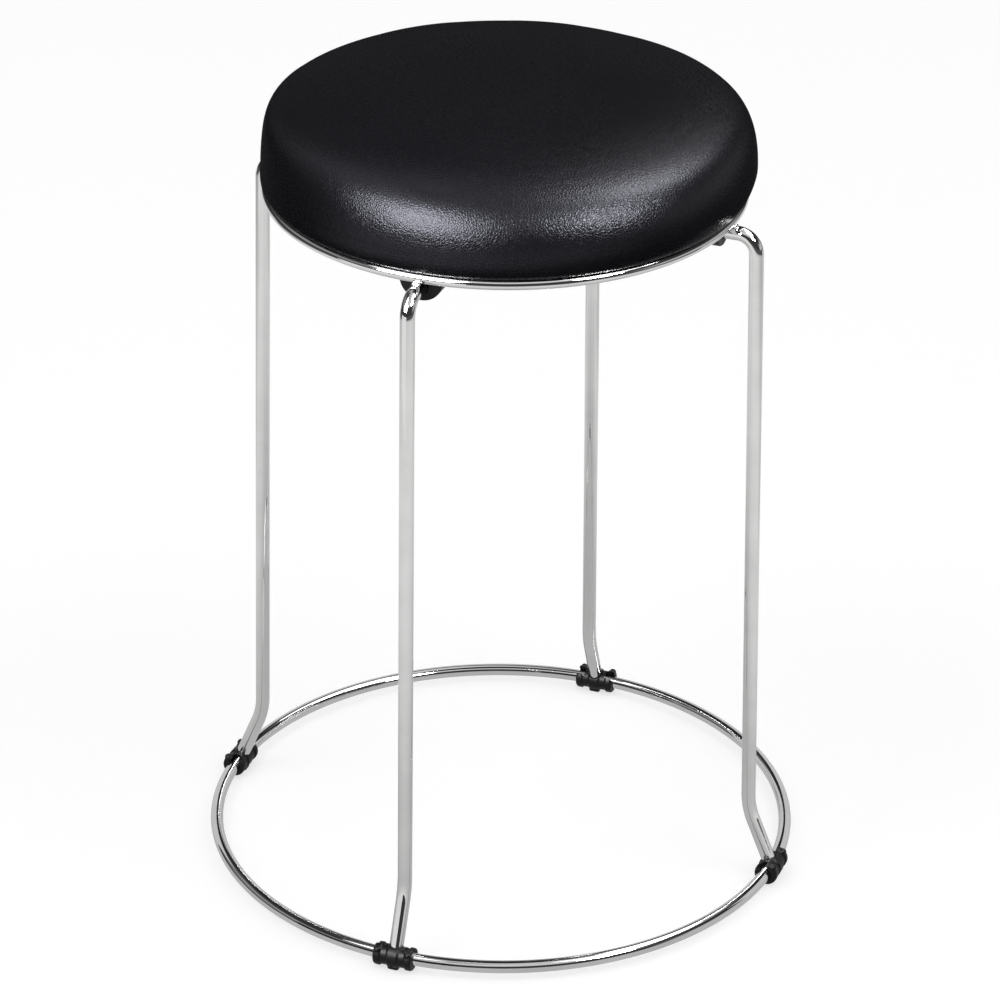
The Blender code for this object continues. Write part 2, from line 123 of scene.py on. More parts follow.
SEAT_RING_TOP = SEAT_RING_HEIGHT + SEAT_ROD
LEG_TOP_RADIUS = SEAT_RING_RADIUS + SEAT_ROD + LEG_BEND
LEG_INNER_END = LEG_TOP_RADIUS - LEG_BEND - LEG_LEVEL_LENGTH
PAD_OUTER_END = SEAT_RING_RADIUS - SEAT_ROD - PAD_RING_GAP
PAD_INNER_END = LEG_INNER_END - PAD_INNER_WALL
SCREW_RADIUS = PAD_INNER_END + SCREW_END_WALL
SCREW_HEAD_SEAT = LEVEL_ROD_TOP - PAD_RADIUS + SCREW_SINK
CLIP_OUTER = BASE_ROD + FIT + CLIP_WALL
CLIP_NECK_OUTER = BASE_ROD + FIT + CLIP_NECK_WALL
CLIP_LENGTH = CLIP_MIDDLE + 2 * CLIP_NECK + 2 * CLIP_COLLAR

# Camera, at the photograph's angle
CAMERA_AZIMUTH = math.radians(20.565)
CAMERA_ELEVATION = math.radians(27.602)
CAMERA_ROLL = math.radians(-0.395)
CAMERA_DISTANCE = 2.8814
CAMERA_LENS = 165.61
SENSOR_WIDTH = 36
CAMERA_CLIP = (0.05, 60)
AIM_SIDE = -0.00197
AIM_HEIGHT = 0.2351


def clear_defaults():
    for item in list(bpy.data.objects):
        if "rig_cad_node" not in item and not item.name.startswith("body"):
            if item.type in ("MESH", "LIGHT", "CAMERA"):
                bpy.data.objects.remove(item, do_unlink=True)


def direction(azimuth, elevation):
    """Outward from the stool's axis. Azimuth 0 is the front leg's side."""
    return Vector((
        math.sin(azimuth) * math.cos(elevation),
        -math.cos(azimuth) * math.cos(elevation),
        math.sin(elevation),
    ))


def camera_axes():
    """Level directions to the camera's right and from the seat towards the camera."""
    front = direction(CAMERA_AZIMUTH, 0)
    return Vector((-front.y, front.x, 0)), front


# Shapes


def turned(radius, angle, z=0.0):
    return radius * math.cos(angle), radius * math.sin(angle), z


def neighbours(count):
    """Each place in a closed row, with the next."""
    return [(k, (k + 1) % count) for k in range(count)]


def steps_between(first, last, count):
    """Both ends, and the values that divide the way between them in that many parts."""
    return [first + (last - first) * k / count for k in range(count + 1)]


def add(name, data):
    made = bpy.data.objects.new(name, data)
    bpy.context.scene.collection.objects.link(made)
    return made


def mesh_from(name, points, faces):
    mesh = bpy.data.meshes.new(name)
    mesh.from_pydata([tuple(p) for p in points], [], faces)
    mesh.update()
    return mesh


def mesh_of(name, form):
    mesh = bpy.data.meshes.new(name)
    form.to_mesh(mesh)
    form.free()
    return mesh


def finish_piece(item, material, slot, *nodes, angle=40):
    """Give a piece its material and its body, and hide the nodes it stands for. The slot argument is not
    used.
    """
    item.data.materials.clear()
    item.data.materials.append(material)
    item.data.shade_smooth()
    item.data.set_sharp_from_angle(angle=math.radians(angle))
    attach(item, "root")
    if nodes:
        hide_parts(*nodes)
    return item


def outward(mesh):
    form = bmesh.new()
    form.from_mesh(mesh)
    bmesh.ops.recalc_face_normals(form, faces=form.faces)
    form.to_mesh(mesh)
    form.free()
    return mesh


def tube_mesh(name, centres, frames, radii, sides, closed=False):
    """A round skin along centres. frames holds two cross vectors for each centre."""
    points, faces = [], []
    turn = [math.tau * k / sides for k in range(sides)]
    for centre, (u, v), (a, b) in zip(centres, frames, radii):
        for t in turn:
            points.append(centre + u * (a * math.cos(t)) + v * (b * math.sin(t)))
    rows = len(centres)
    for row in range(rows if closed else rows - 1):
        low, high = row * sides, ((row + 1) % rows) * sides
        for k, n in neighbours(sides):
            faces.append((low + k, low + n, high + n, high + k))
    if not closed:
        faces.append(tuple(reversed(range(sides))))
        faces.append(tuple(range((rows - 1) * sides, rows * sides)))
    return outward(mesh_from(name, points, faces))


def torus_mesh(name, radius, rod, height, steps, sides, start=0.0, end=math.tau):
    closed = end - start >= math.tau
    angles = steps_between(start, end, steps)
    if closed:
        angles.pop()
    centres, frames = [], []
    for angle in angles:
        out = Vector(turned(1, angle))
        centres.append(out * radius + Vector((0, 0, height)))
        frames.append((out, Vector((0, 0, 1))))
    return tube_mesh(name, centres, frames, [(rod, rod)] * len(angles), sides, closed)


def lathe_mesh(name, profile, steps):
    """A closed solid of revolution about Z, from points (radius, z)."""
    points, faces, rows = [], [], []
    for r, z in profile:
        if r == 0:
            rows.append([len(points)])
            points.append((0, 0, z))
            continue
        rows.append(list(range(len(points), len(points) + steps)))
        points += [turned(r, math.tau * k / steps, z) for k in range(steps)]
    pairs = list(zip(rows, rows[1:]))
    if len(rows[0]) > 1:
        pairs.append((rows[-1], rows[0]))
    for one, two in pairs:
        for k, n in neighbours(steps):
            corner = [one[k % len(one)], one[n % len(one)], two[n % len(two)], two[k % len(two)]]
            corner = list(dict.fromkeys(corner))
            if len(corner) > 2:
                faces.append(corner)
    return outward(mesh_from(name, points, faces))


def block(name, size, location, tilt=0.0):
    form = bmesh.new()
    bmesh.ops.create_cube(form, size=1.0)
    bmesh.ops.scale(form, vec=size, verts=form.verts)
    made = add(name, mesh_of(name, form))
    made.rotation_euler = (0, tilt, 0)
    made.location = location
    return made


def cylinder(name, radius, start, end, sides, end_radius=None):
    start, end = Vector(start), Vector(end)
    form = bmesh.new()
    bmesh.ops.create_cone(
        form,
        cap_ends=True,
        segments=sides,
        radius1=radius,
        radius2=radius if end_radius is None else end_radius,
        depth=(end - start).length,
    )
    made = add(name, mesh_of(name, form))
    made.rotation_mode = "QUATERNION"
    made.rotation_quaternion = (end - start).to_track_quat("Z", "X")
    made.location = (start + end) / 2
    return made


def combine(item, tool, operation):
    change = item.modifiers.new(operation.title(), "BOOLEAN")
    change.operation = operation
    change.solver = "EXACT"
    change.object = tool
    tool.hide_render = True
    return tool


def settle(item, tools=()):
    """Make the evaluated shape the item's own mesh in world space, and drop its tools."""
    bpy.context.view_layer.update()
    evaluated = item.evaluated_get(bpy.context.evaluated_depsgraph_get())
    mesh = bpy.data.meshes.new_from_object(evaluated)
    mesh.transform(item.matrix_world)
    item.modifiers.clear()
    item.data = mesh
    item.rotation_mode = "XYZ"
    item.matrix_world = Matrix.Identity(4)
    for tool in tools:
        bpy.data.objects.remove(tool, do_unlink=True)
    return item


def soften(item, width, segments, angle=None):
    """Round the edges, or only those that are sharper than the angle."""
    soft = item.modifiers.new("Soft", "BEVEL")
    soft.width = width
    soft.segments = segments
    if angle is not None:
        soft.limit_method = "ANGLE"
        soft.angle_limit = math.radians(angle)


def moulded(item, voxel, passes, share):
    """Round every edge a little, as a mould does, and thin out the flat parts."""
    remesh = item.modifiers.new("Voxels", "REMESH")
    remesh.mode = "VOXEL"
    remesh.voxel_size = voxel
    remesh.adaptivity = 0.0
    soft = item.modifiers.new("Smooth", "SMOOTH")
    soft.factor = 0.5
    soft.iterations = passes
    thin = item.modifiers.new("Thin", "DECIMATE")
    thin.ratio = share
    return settle(item)


def at_sides(item, name, material, slot, angle=40):
    """The piece made at the right side, and turned copies of it at the other legs."""
    item.name = f"{name}_fine_right"
    finish_piece(item, material, slot, f"{name}_right", angle=angle)
    for side, degrees in SIDES.items():
        if side == "right":
            continue
        mesh = item.data.copy()
        mesh.transform(Matrix.Rotation(math.radians(degrees), 4, "Z"))
        made = add(f"{name}_fine_{side}", mesh)
        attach(made, "root")
        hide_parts(f"{name}_{side}")


# The frame of rods

KINK_BEND_SHOWN = 0.048
FOOT_INTO_RING = BASE_ROD * 0.4
BEND_STEPS_PER_TURN = 112
BEND_LEAST_STEPS = 6
# A rod is a little wider and flatter in its bends
BEND_WIDER = 0.010
BEND_FLATTER = 0.015


def leg_corners():
    slope = math.tan(LEG_SPLAY)
    kink_height = RING_AXIS + KINK_RISE
    top = (LEG_TOP_RADIUS + slope * (SEAT_RING_HEIGHT - LEVEL_ROD_AXIS), LEVEL_ROD_AXIS)
    kink = (LEG_TOP_RADIUS + slope * (SEAT_RING_HEIGHT - kink_height), kink_height)
    return [(LEG_INNER_END, LEVEL_ROD_AXIS), top, kink, (BASE_RING_RADIUS, RING_AXIS)]


def foot_direction():
    kink, foot = leg_corners()[2:]
    return Vector((kink[0] - foot[0], 0.0, kink[1] - foot[1])).normalized()


def bent_path(corners, bends):
    """Points along straight runs in the XZ plane, with an arc at each inner corner."""
    corners = [Vector((r, 0.0, z)) for r, z in corners]
    path, tangents, bending = [corners[0]], [(corners[1] - corners[0]).normalized()], [0]
    for before, corner, after, bend in zip(corners, corners[1:], corners[2:], bends):
        towards, away = (corner - before).normalized(), (after - corner).normalized()
        turn = towards.angle(away)
        reach = bend * math.tan(turn / 2)
        centre = corner + (away - towards).normalized() * bend / math.cos(turn / 2)
        first = corner - towards * reach - centre
        axis = towards.cross(away)
        steps = max(BEND_LEAST_STEPS, round(BEND_STEPS_PER_TURN * turn / math.tau))
        for step in range(steps + 1):
            spin = Matrix.Rotation(turn * step / steps, 3, axis)
            path.append(centre + spin @ first)
            tangents.append(spin @ towards)
            bending.append(math.sin(math.pi * step / steps))
    path.append(corners[-1])
    tangents.append((corners[-1] - corners[-2]).normalized())
    bending.append(0)
    return path, tangents, bending


def make_ring(node, chrome, radius, rod, height, steps, sides):
    name = f"{node}_fine"
    ring = add(name, torus_mesh(name, radius, rod, height, steps, sides))
    return finish_piece(ring, chrome, "chrome", node)


def make_legs(chrome):
    corners = leg_corners()
    foot = Vector((corners[3][0], 0.0, corners[3][1])) + foot_direction() * FOOT_INTO_RING
    corners[3] = (foot.x, foot.z)
    path, tangents, bending = bent_path(corners, (LEG_BEND, KINK_BEND_SHOWN))
    across = Vector((0, 1, 0))
    frames = [(across, t.cross(across)) for t in tangents]
    radii = [(LEG_ROD * (1 + BEND_WIDER * b), LEG_ROD * (1 - BEND_FLATTER * b)) for b in bending]
    leg = add("leg", tube_mesh("leg", path, frames, radii, sides=36))
    at_sides(leg, "leg", chrome, "chrome")


# Materials


class Tree:
    """A node tree with short calls. An input takes a plain value or another node's output."""

    def __init__(self, owner):
        owner.use_nodes = True
        self.owner = owner
        self.nodes = owner.node_tree.nodes
        self.links = owner.node_tree.links

    def put(self, socket, value):
        if isinstance(value, bpy.types.NodeSocket):
            self.links.new(value, socket)
        elif socket.type == "RGBA":
            socket.default_value = (*value, 1)
        else:
            socket.default_value = value

    def node(self, kind, inputs, output=0, **settings):
        made = self.nodes.new("ShaderNode" + kind)
        for name, value in settings.items():
            setattr(made, name, value)
        for key, value in inputs.items():
            self.put(made.inputs[key], value)
        return made.outputs[output]

    def place(self):
        return self.node("TexCoord", {}, "Object")

    def noise(self, place, scale, detail=4.0, roughness=0.5):
        inputs = {"Vector": place, "Scale": scale, "Detail": detail, "Roughness": roughness}
        return self.node("TexNoise", inputs, "Fac")

    def span(self, value, low, high, out_low=0.0, out_high=1.0):
        """The range from low to high, brought to another range."""
        inputs = {"Value": value, "From Min": low, "From Max": high, "To Min": out_low, "To Max": out_high}
        return self.node("MapRange", inputs, "Result")

    def blend(self, share, one, two):
        return self.node("Mix", {0: share, 6: one, 7: two}, 2, data_type="RGBA")

    def maths(self, operation, one, two=0):
        return self.node("Math", {0: one, 1: two}, operation=operation)

    def bump(self, height, distance, strength):
        inputs = {"Height": height, "Distance": distance, "Strength": strength}
        return self.node("Bump", inputs, "Normal")

    def grey_ramp(self, value, stops):
        ramp = self.nodes.new("ShaderNodeValToRGB")
        elements = ramp.color_ramp.elements
        while len(elements) > 1:
            elements.remove(elements[-1])
        for step, (place, grey) in enumerate(stops):
            element = elements[0] if step == 0 else elements.new(place)
            element.position = place
            element.color = (grey, grey, grey, 1)
        self.put(ramp.inputs[0], value)
        return ramp.outputs[0]

    def surface(self, inputs):
        """Set the inputs of the material's shader."""
        for name, value in inputs.items():
            self.put(self.nodes["Principled BSDF"].inputs[name], value)
        return self.owner


def new_tree(name):
    return Tree(bpy.data.materials.new(name))


def chrome_material():
    tree = new_tree("polished_chrome")
    place = tree.place()
    cloudy = tree.noise(place, 38, 3)
    fine = tree.noise(place, 900, 2)
    ripple = tree.noise(place, 140, 2)
    smear = tree.span(cloudy, 0.35, 0.7)
    rough = tree.span(cloudy, 0.3, 0.75, 0.030, 0.066)
    return tree.surface({
        "Base Color": tree.blend(smear, (0.690, 0.688, 0.685), (0.630, 0.628, 0.625)),
        "Metallic": 1.0,
        "Roughness": tree.maths("ADD", rough, tree.span(fine, 0.4, 0.7, 0.0, 0.015)),
        "Normal": tree.bump(ripple, 0.0006, 0.045),
    })


def grained_metal(name, scale, light, dark, rough, relief):
    tree = new_tree(name)
    grain = tree.noise(tree.place(), scale)
    return tree.surface({
        "Base Color": tree.blend(grain, light, dark),
        "Metallic": 1.0,
        "Roughness": tree.span(grain, 0.3, 0.7, *rough),
        "Normal": tree.bump(grain, *relief),
    })


def weld_material():
    light, dark = (0.62, 0.62, 0.63), (0.45, 0.45, 0.46)
    return grained_metal("weld_chrome", 1400, light, dark, rough=(0.10, 0.26), relief=(0.0002, 0.3))


def zinc_material():
    light, dark = (0.66, 0.66, 0.62), (0.50, 0.52, 0.54)
    return grained_metal("zinc_steel", 600, light, dark, rough=(0.24, 0.42), relief=(0.0001, 0.2))


def vinyl_material():
    """Fine pebbles, whose cells are warped, on a skin with broader unevenness. The creases between the
    pebbles are painted darker, as painted shade.
    """
    tree = new_tree("grained_vinyl")
    place = tree.place()
    warp = tree.node("TexNoise", {"Vector": place, "Scale": 320}, "Color")
    pushed = tree.node("VectorMath", {0: warp, 1: (0.0011, 0.0011, 0.0011), 2: place},
                       operation="MULTIPLY_ADD")
    cells = tree.node("TexVoronoi", {"Vector": pushed, "Scale": 600}, "Distance",
                      feature="DISTANCE_TO_EDGE")
    pebble = tree.span(cells, 0.0, 0.30)
    fine = tree.noise(place, 2600, 3)
    broad = tree.noise(place, 9, 2)
    middle = tree.noise(place, 150, 3)
    height = tree.maths("ADD", pebble, tree.maths("MULTIPLY", fine, 0.3))
    height = tree.maths("ADD", height, tree.maths("MULTIPLY", middle, 0.8))
    # Base colour: painted shade, darker in the creases between the pebbles, times a tone that varies at
    # random with the broad noise
    shade = tree.maths("MULTIPLY", pebble, tree.span(broad, 0.3, 0.7, 0.6, 1.0))
    rough = tree.span(broad, 0.3, 0.7, 0.27, 0.31)
    return tree.surface({
        "Base Color": tree.blend(shade, (0.0068, 0.0068, 0.0087), (0.0125, 0.0125, 0.0160)),
        "Roughness": tree.maths("SUBTRACT", rough, tree.maths("MULTIPLY", pebble, 0.05)),
        "Specular IOR Level": 0.25,
        "Specular Tint": (0.86, 0.87, 1.0),
        "Normal": tree.bump(height, 0.00016, 0.50),
    })


def plastic_material():
    tree = new_tree("moulded_black")
    place = tree.place()
    fine = tree.noise(place, 3200, 3)
    scuffs = tree.span(tree.noise(place, 420, 5, 0.7), 0.60, 0.78)
    rough = tree.span(tree.noise(place, 120), 0.3, 0.7, 0.36, 0.50)
    return tree.surface({
        "Base Color": tree.blend(scuffs, (0.0050, 0.0050, 0.0058), (0.022, 0.022, 0.024)),
        "Roughness": tree.maths("ADD", rough, tree.maths("MULTIPLY", scuffs, 0.10)),
        "Specular IOR Level": 0.18,
        "Normal": tree.bump(fine, 0.0001, 0.35),
    })


def cloth_material():
    """Thin non-woven cloth with a regular pattern of pressed bonds."""
    tree = new_tree("nonwoven_cloth")
    place = tree.place()
    waves = []
    for across in (2400, -2400):
        parts = [tree.maths("MULTIPLY", tree.node("SeparateXYZ", {0: place}, axis), scale)
                 for axis, scale in ((0, 2400), (1, across))]
        waves.append(tree.maths("SINE", tree.maths("ADD", *parts)))
    bonds = tree.span(tree.maths("MULTIPLY", *waves), 0.3, 0.8, 1.0, 0.0)
    stretched = tree.node("Mapping", {"Vector": place, "Scale": (1.0, 0.22, 1.0)})
    fibres = tree.noise(stretched, 2600, 5, 0.7)
    shade = tree.maths("MULTIPLY", fibres, tree.noise(place, 90))
    height = tree.maths("ADD", bonds, tree.maths("MULTIPLY", fibres, 1.2))
    return tree.surface({
        "Base Color": tree.blend(shade, (0.008, 0.008, 0.009), (0.060, 0.060, 0.064)),
        "Roughness": tree.span(bonds, 0, 1, 0.62, 0.95),
        "Normal": tree.bump(height, 0.00015, 0.6),
    })


def plywood_material():
    tree = new_tree("raw_plywood")
    stretched = tree.node("Mapping", {"Vector": tree.place(), "Scale": (1.0, 14.0, 260.0)})
    grain = tree.noise(stretched, 9, 6, 0.65)
    return tree.surface({
        "Base Color": tree.blend(tree.span(grain, 0.35, 0.68), (0.60, 0.43, 0.26), (0.42, 0.27, 0.14)),
        "Roughness": tree.span(grain, 0.3, 0.7, 0.62, 0.80),
        "Normal": tree.bump(grain, 0.0003, 0.3),
    })


# The cushion

# The cushion's section: a crown, a shoulder, and a rounder shoulder towards the camera
CROWN_RISE = 0.0140
CROWN_POWER = 3.0
SHOULDER_RISE = 0.0337
SHOULDER_POWER = 37.0
SHOULDER_ROOT = 1.78
FRONT_POWER = 10.0
FRONT_ROOT = 2.0
EDGE_ROUNDING = COVER_THICKNESS * 0.3

# It sits a little to the camera's right, and its crown leans back to the left
SHIFT_RIGHT = 0.0021
SHIFT_BACK = 0.0003
CROWN_LEAN = 0.0060
CROWN_LEAN_POWER = 2.8

# Fineness of the skin
DISC_CELLS = 44
DISC_SHARE = 0.80
RIM_STEP = 0.0026
SHOULDER_STEPS = 120
BULGE_STEPS = 24
GROOVE_STEPS = 12


def cushion_top(share, power, root):
    shoulder = max(0.0, 1 - share**power) ** (1 / root)
    return SHOULDER_RISE * shoulder + CROWN_RISE * (1 - share**CROWN_POWER)


def frontness(x, y):
    """1 on the side that faces the camera, 0 on the side and back."""
    _, front = camera_axes()
    length = math.hypot(x, y)
    return max(0.0, (x * front.x + y * front.y) / length) if length > 0 else 0.0


def shoulder_outline(power, root):
    """The skin's section from the disc's rim to the widest point, as (radius, height)."""
    first = math.acos(DISC_SHARE ** (power / 2))
    outline = []
    for step in range(SHOULDER_STEPS + 1):
        share = min(1.0, math.cos(first * (1 - step / SHOULDER_STEPS)) ** (2 / power))
        outline.append((WIDEST_RADIUS * share, WIDEST_HEIGHT + cushion_top(share, power, root)))
    return outline


def lower_outline():
    """From the widest point down, round the seat ring, and in to the hem's inner edge."""
    groove = SEAT_ROD + FIT
    groove_out = SEAT_RING_RADIUS + groove * math.cos(GROOVE_END)
    groove_top = SEAT_RING_HEIGHT + groove * math.sin(GROOVE_END)
    outline = [(WIDEST_RADIUS, WIDEST_HEIGHT)]
    for angle in steps_between(0, math.pi / 2, BULGE_STEPS)[1:]:
        radius = groove_out + (WIDEST_RADIUS - groove_out) * math.cos(angle)
        outline.append((radius, WIDEST_HEIGHT - (WIDEST_HEIGHT - groove_top) * math.sin(angle)))
    for angle in steps_between(GROOVE_END, math.pi, GROOVE_STEPS)[1:]:
        radius = SEAT_RING_RADIUS + groove * math.cos(angle)
        outline.append((radius, SEAT_RING_HEIGHT + groove * math.sin(angle)))
    outline.append((COVER_EDGE_RADIUS, HEM_TOP))
    outline.append((COVER_EDGE_RADIUS - EDGE_ROUNDING, HEM_BOTTOM + EDGE_ROUNDING))
    outline.append((COVER_EDGE_RADIUS - COVER_THICKNESS, HEM_BOTTOM))
    outline.append((HEM_INNER_RADIUS, HEM_BOTTOM))
    return outline


def spaced(outline, count):
    """That many points after the first, at even steps along the outline."""
    points = np.array(outline)
    along = np.concatenate([[0], np.cumsum(np.linalg.norm(np.diff(points, axis=0), axis=1))])
    wanted = np.linspace(0, along[-1], count + 1)[1:]
    return np.c_[np.interp(wanted, along, points[:, 0]), np.interp(wanted, along, points[:, 1])]


def rim_count(outline):
    return round(sum(math.dist(one, two) for one, two in zip(outline, outline[1:])) / RIM_STEP)


def disc_points():
    """A square grid bent to a disc, with each point's place in the grid."""
    half = DISC_CELLS // 2
    spots = {}
    for i in range(-half, half + 1):
        for j in range(-half, half + 1):
            reach = max(abs(i), abs(j)) / half
            level = abs(i) >= abs(j)
            major, minor = (i, j) if level else (j, i)
            angle = math.pi / 4 * minor / major if major else 0.0
            far = math.copysign(reach * math.cos(angle), major)
            near = math.copysign(1, major) * reach * math.sin(angle)
            spots[i, j] = (far, near) if level else (near, far)
    return spots


def disc_rim():
    half = DISC_CELLS // 2
    rim = [(i, -half) for i in range(-half, half)]
    rim += [(half, j) for j in range(-half, half)]
    rim += [(i, half) for i in range(half, -half, -1)]
    rim += [(-half, j) for j in range(half, -half, -1)]
    return rim


def cushion_skin():
    """Even quads: a square grid bent to a disc on the crown, then rows down to the hem."""
    points, index = [], {}
    for key, (x, y) in disc_points().items():
        share = math.hypot(x, y) * DISC_SHARE
        near = frontness(x, y)
        rise = cushion_top(share, SHOULDER_POWER, SHOULDER_ROOT) * (1 - near)
        rise += cushion_top(share, FRONT_POWER, FRONT_ROOT) * near
        index[key] = len(points)
        points.append((x * WIDEST_RADIUS * DISC_SHARE, y * WIDEST_RADIUS * DISC_SHARE, WIDEST_HEIGHT + rise))
    half = DISC_CELLS // 2
    faces = []
    for i in range(-half, half):
        for j in range(-half, half):
            faces.append((index[i, j], index[i + 1, j], index[i + 1, j + 1], index[i, j + 1]))

    row = [index[key] for key in disc_rim()]
    angles = [math.atan2(points[k][1], points[k][0]) for k in row]
    near = [frontness(math.cos(a), math.sin(a)) for a in angles]
    back_shoulder = shoulder_outline(SHOULDER_POWER, SHOULDER_ROOT)
    front_shoulder = shoulder_outline(FRONT_POWER, FRONT_ROOT)
    count = rim_count(back_shoulder)
    sections = list(zip(spaced(back_shoulder, count), spaced(front_shoulder, count)))
    sections += [(place, place) for place in spaced(lower_outline(), rim_count(lower_outline()))]
    for back, front in sections:
        fresh = []
        for angle, share in zip(angles, near):
            r, z = back * (1 - share) + front * share
            fresh.append(len(points))
            points.append(turned(r, angle, z))
        for k, n in neighbours(len(row)):
            faces.append((row[k], fresh[k], fresh[n], row[n]))
        row = fresh
    return np.array(points), faces, row


def lean(points):
    """Shift the cushion on its ring, and lean its crown."""
    right, front = (np.array(axis) for axis in camera_axes())
    low = np.clip((points[:, 2] - SEAT_RING_TOP) / (WIDEST_HEIGHT - SEAT_RING_TOP), 0, 1)
    high = np.clip((points[:, 2] - WIDEST_HEIGHT) / (SHOULDER_RISE + CROWN_RISE), 0, 1)
    sideways = SHIFT_RIGHT * low - CROWN_LEAN * high**CROWN_LEAN_POWER
    return points + np.outer(sideways, right) - np.outer(SHIFT_BACK * low, front)


# The cloth simulation, and how much of it is kept
SIM_FRAMES = 20
SIM_SHRINK = 0.0016
SIM_SHRINK_WAVE = 0.0004
SIM_HELD_RISE = 0.010
SIM_SETTINGS = {
    "quality": 6,
    "mass": 0.25,
    "tension_stiffness": 25,
    "compression_stiffness": 25,
    "shear_stiffness": 10,
    "bending_stiffness": 4,
    "use_pressure": True,
    "uniform_pressure_force": 3.0,
    "vertex_group_mass": "held",
}
UNEVEN_CAP = 0.0004
UNEVEN_PASSES = 10
UNEVEN_WINDOW = 401
WAVE_HEIGHT = 0.0003
WAVE_SCALE = 16.0
FREE_RISE = 0.02
UNSHRINK_RISE = 0.01
UNSHRINK_PASSES = 3


def inflate(item):
    """Let the skin swell as cloth under pressure. The hem and the groove are held."""
    group = item.vertex_groups.new(name="held")
    for vertex in item.data.vertices:
        weight = 1.0 - min(1.0, max(0.0, (vertex.co.z - SEAT_RING_TOP) / SIM_HELD_RISE))
        if weight > 0:
            group.add([vertex.index], weight, "REPLACE")
    cloth = item.modifiers.new("Cloth", "CLOTH")
    for name, value in SIM_SETTINGS.items():
        setattr(cloth.settings, name, value)
    cloth.settings.effector_weights.gravity = 0
    cloth.point_cache.frame_start = 1
    cloth.point_cache.frame_end = SIM_FRAMES
    for step in range(1, SIM_FRAMES + 1):
        bpy.context.scene.frame_set(step)
    evaluated = item.evaluated_get(bpy.context.evaluated_depsgraph_get())
    moved = np.array([v.co for v in evaluated.data.vertices])
    item.modifiers.clear()
    item.vertex_groups.clear()
    bpy.context.scene.frame_set(1)
    return moved


def unevenness(swell, radii, edges):
    """The swelling without its mean at each radius, smoothed over neighbours and capped."""
    order = np.argsort(radii)
    padded = np.pad(swell[order], UNEVEN_WINDOW // 2, mode="edge")
    mean = np.convolve(padded, np.ones(UNEVEN_WINDOW) / UNEVEN_WINDOW, mode="valid")
    left = np.empty_like(swell)
    left[order] = swell[order] - mean
    one, two = edges[:, 0], edges[:, 1]
    count = np.bincount(one, minlength=len(left)) + np.bincount(two, minlength=len(left))
    for _ in range(UNEVEN_PASSES):
        total = np.bincount(one, left[two], len(left)) + np.bincount(two, left[one], len(left))
        left = 0.5 * left + 0.5 * total / count
    return np.clip(left, -UNEVEN_CAP, UNEVEN_CAP)


def places(mesh):
    flat = np.empty(len(mesh.vertices) * 3)
    mesh.vertices.foreach_get("co", flat)
    return flat.reshape(-1, 3)


def move_to(item, points):
    item.data.vertices.foreach_set("co", points.ravel())
    item.data.update()


def undo_shrink(item):
    """Move the coarse points out, so that the subdivided skin passes through their old places."""
    target = places(item.data)
    share = np.clip((target[:, 2] - SEAT_RING_HEIGHT) / UNSHRINK_RISE, 0, 1)
    for _ in range(UNSHRINK_PASSES):
        bpy.context.view_layer.update()
        evaluated = item.evaluated_get(bpy.context.evaluated_depsgraph_get())
        fine = places(evaluated.data)[:len(target)]
        move_to(item, places(item.data) + (target - fine) * share[:, None])


def swell_skin(item, target):
    """Give the skin a slight wave and the unevenness that the simulation leaves."""
    normals = np.array([v.normal for v in item.data.vertices])
    wave = np.array([noise.noise(Vector(p) * WAVE_SCALE) for p in target])
    free = np.clip((target[:, 2] - SEAT_RING_TOP) / FREE_RISE, 0, 1)
    change = WAVE_HEIGHT * wave
    start = target - normals * (free * (SIM_SHRINK - SIM_SHRINK_WAVE * wave))[:, None]
    item.data.vertices.foreach_set("co", start.ravel())
    swell = ((inflate(item) - start) * normals).sum(axis=1)
    edges = np.array([e.vertices[:] for e in item.data.edges])
    change = change + unevenness(swell, np.hypot(target[:, 0], target[:, 1]), edges)
    move_to(item, target + normals * (free * change)[:, None])


def close_underside(item, edge):
    """From the hem's inner edge over the hem, up the board's side and across its top."""
    form = bmesh.new()
    form.from_mesh(item.data)
    form.verts.ensure_lookup_table()
    loop = [form.verts[k] for k in edge]
    board = BOARD_RADIUS + FIT
    for r, z in ((HEM_INNER_RADIUS, HEM_TOP), (board, HEM_TOP), (board, BOARD_TOP + FIT),
                 (BOARD_RADIUS / 2, BOARD_TOP + FIT)):
        fresh = [form.verts.new(turned(r, math.atan2(vertex.co.y, vertex.co.x), z)) for vertex in loop]
        for k, n in neighbours(len(loop)):
            form.faces.new((loop[k], fresh[k], fresh[n], loop[n]))
        loop = fresh
    form.faces.new(loop)
    bmesh.ops.recalc_face_normals(form, faces=form.faces)
    form.to_mesh(item.data)
    form.free()


PLEAT_COUNT = 58
PLEAT_DEPTH = 0.00022
PLEAT_FADE = 0.004
PLEAT_REACH = 0.001


def gather_hem(item):
    """Shallow radial pleats where the cover is drawn in under the board."""
    outer = COVER_EDGE_RADIUS - COVER_THICKNESS
    for vertex in item.data.vertices:
        r = math.hypot(vertex.co.x, vertex.co.y)
        if vertex.co.z > HEM_BOTTOM + COVER_THICKNESS / 2 or r < HEM_INNER_RADIUS - PLEAT_REACH:
            continue
        angle = math.atan2(vertex.co.y, vertex.co.x)
        depth = min(1.0, max(0.0, (outer - r) / PLEAT_FADE))
        fold = noise.noise(Vector(turned(9, angle, 3.7)))
        fold += 0.6 * math.sin(angle * PLEAT_COUNT + 5 * fold)
        vertex.co.z -= PLEAT_DEPTH * depth * max(0.0, fold)


def make_cushion(vinyl):
    points, faces, edge = cushion_skin()
    target = lean(points)
    item = add("cushion", outward(mesh_from("cushion", target, faces)))
    swell_skin(item, target)
    close_underside(item, edge)
    smooth = item.modifiers.new("Fine", "SUBSURF")
    smooth.levels = smooth.render_levels = 1
    undo_shrink(item)
    settle(item)
    gather_hem(item)
    finish_piece(item, vinyl, "black_vinyl", "seat_cover", "seat_foam", angle=60)
    return item


# The cloth under the seat and its staples

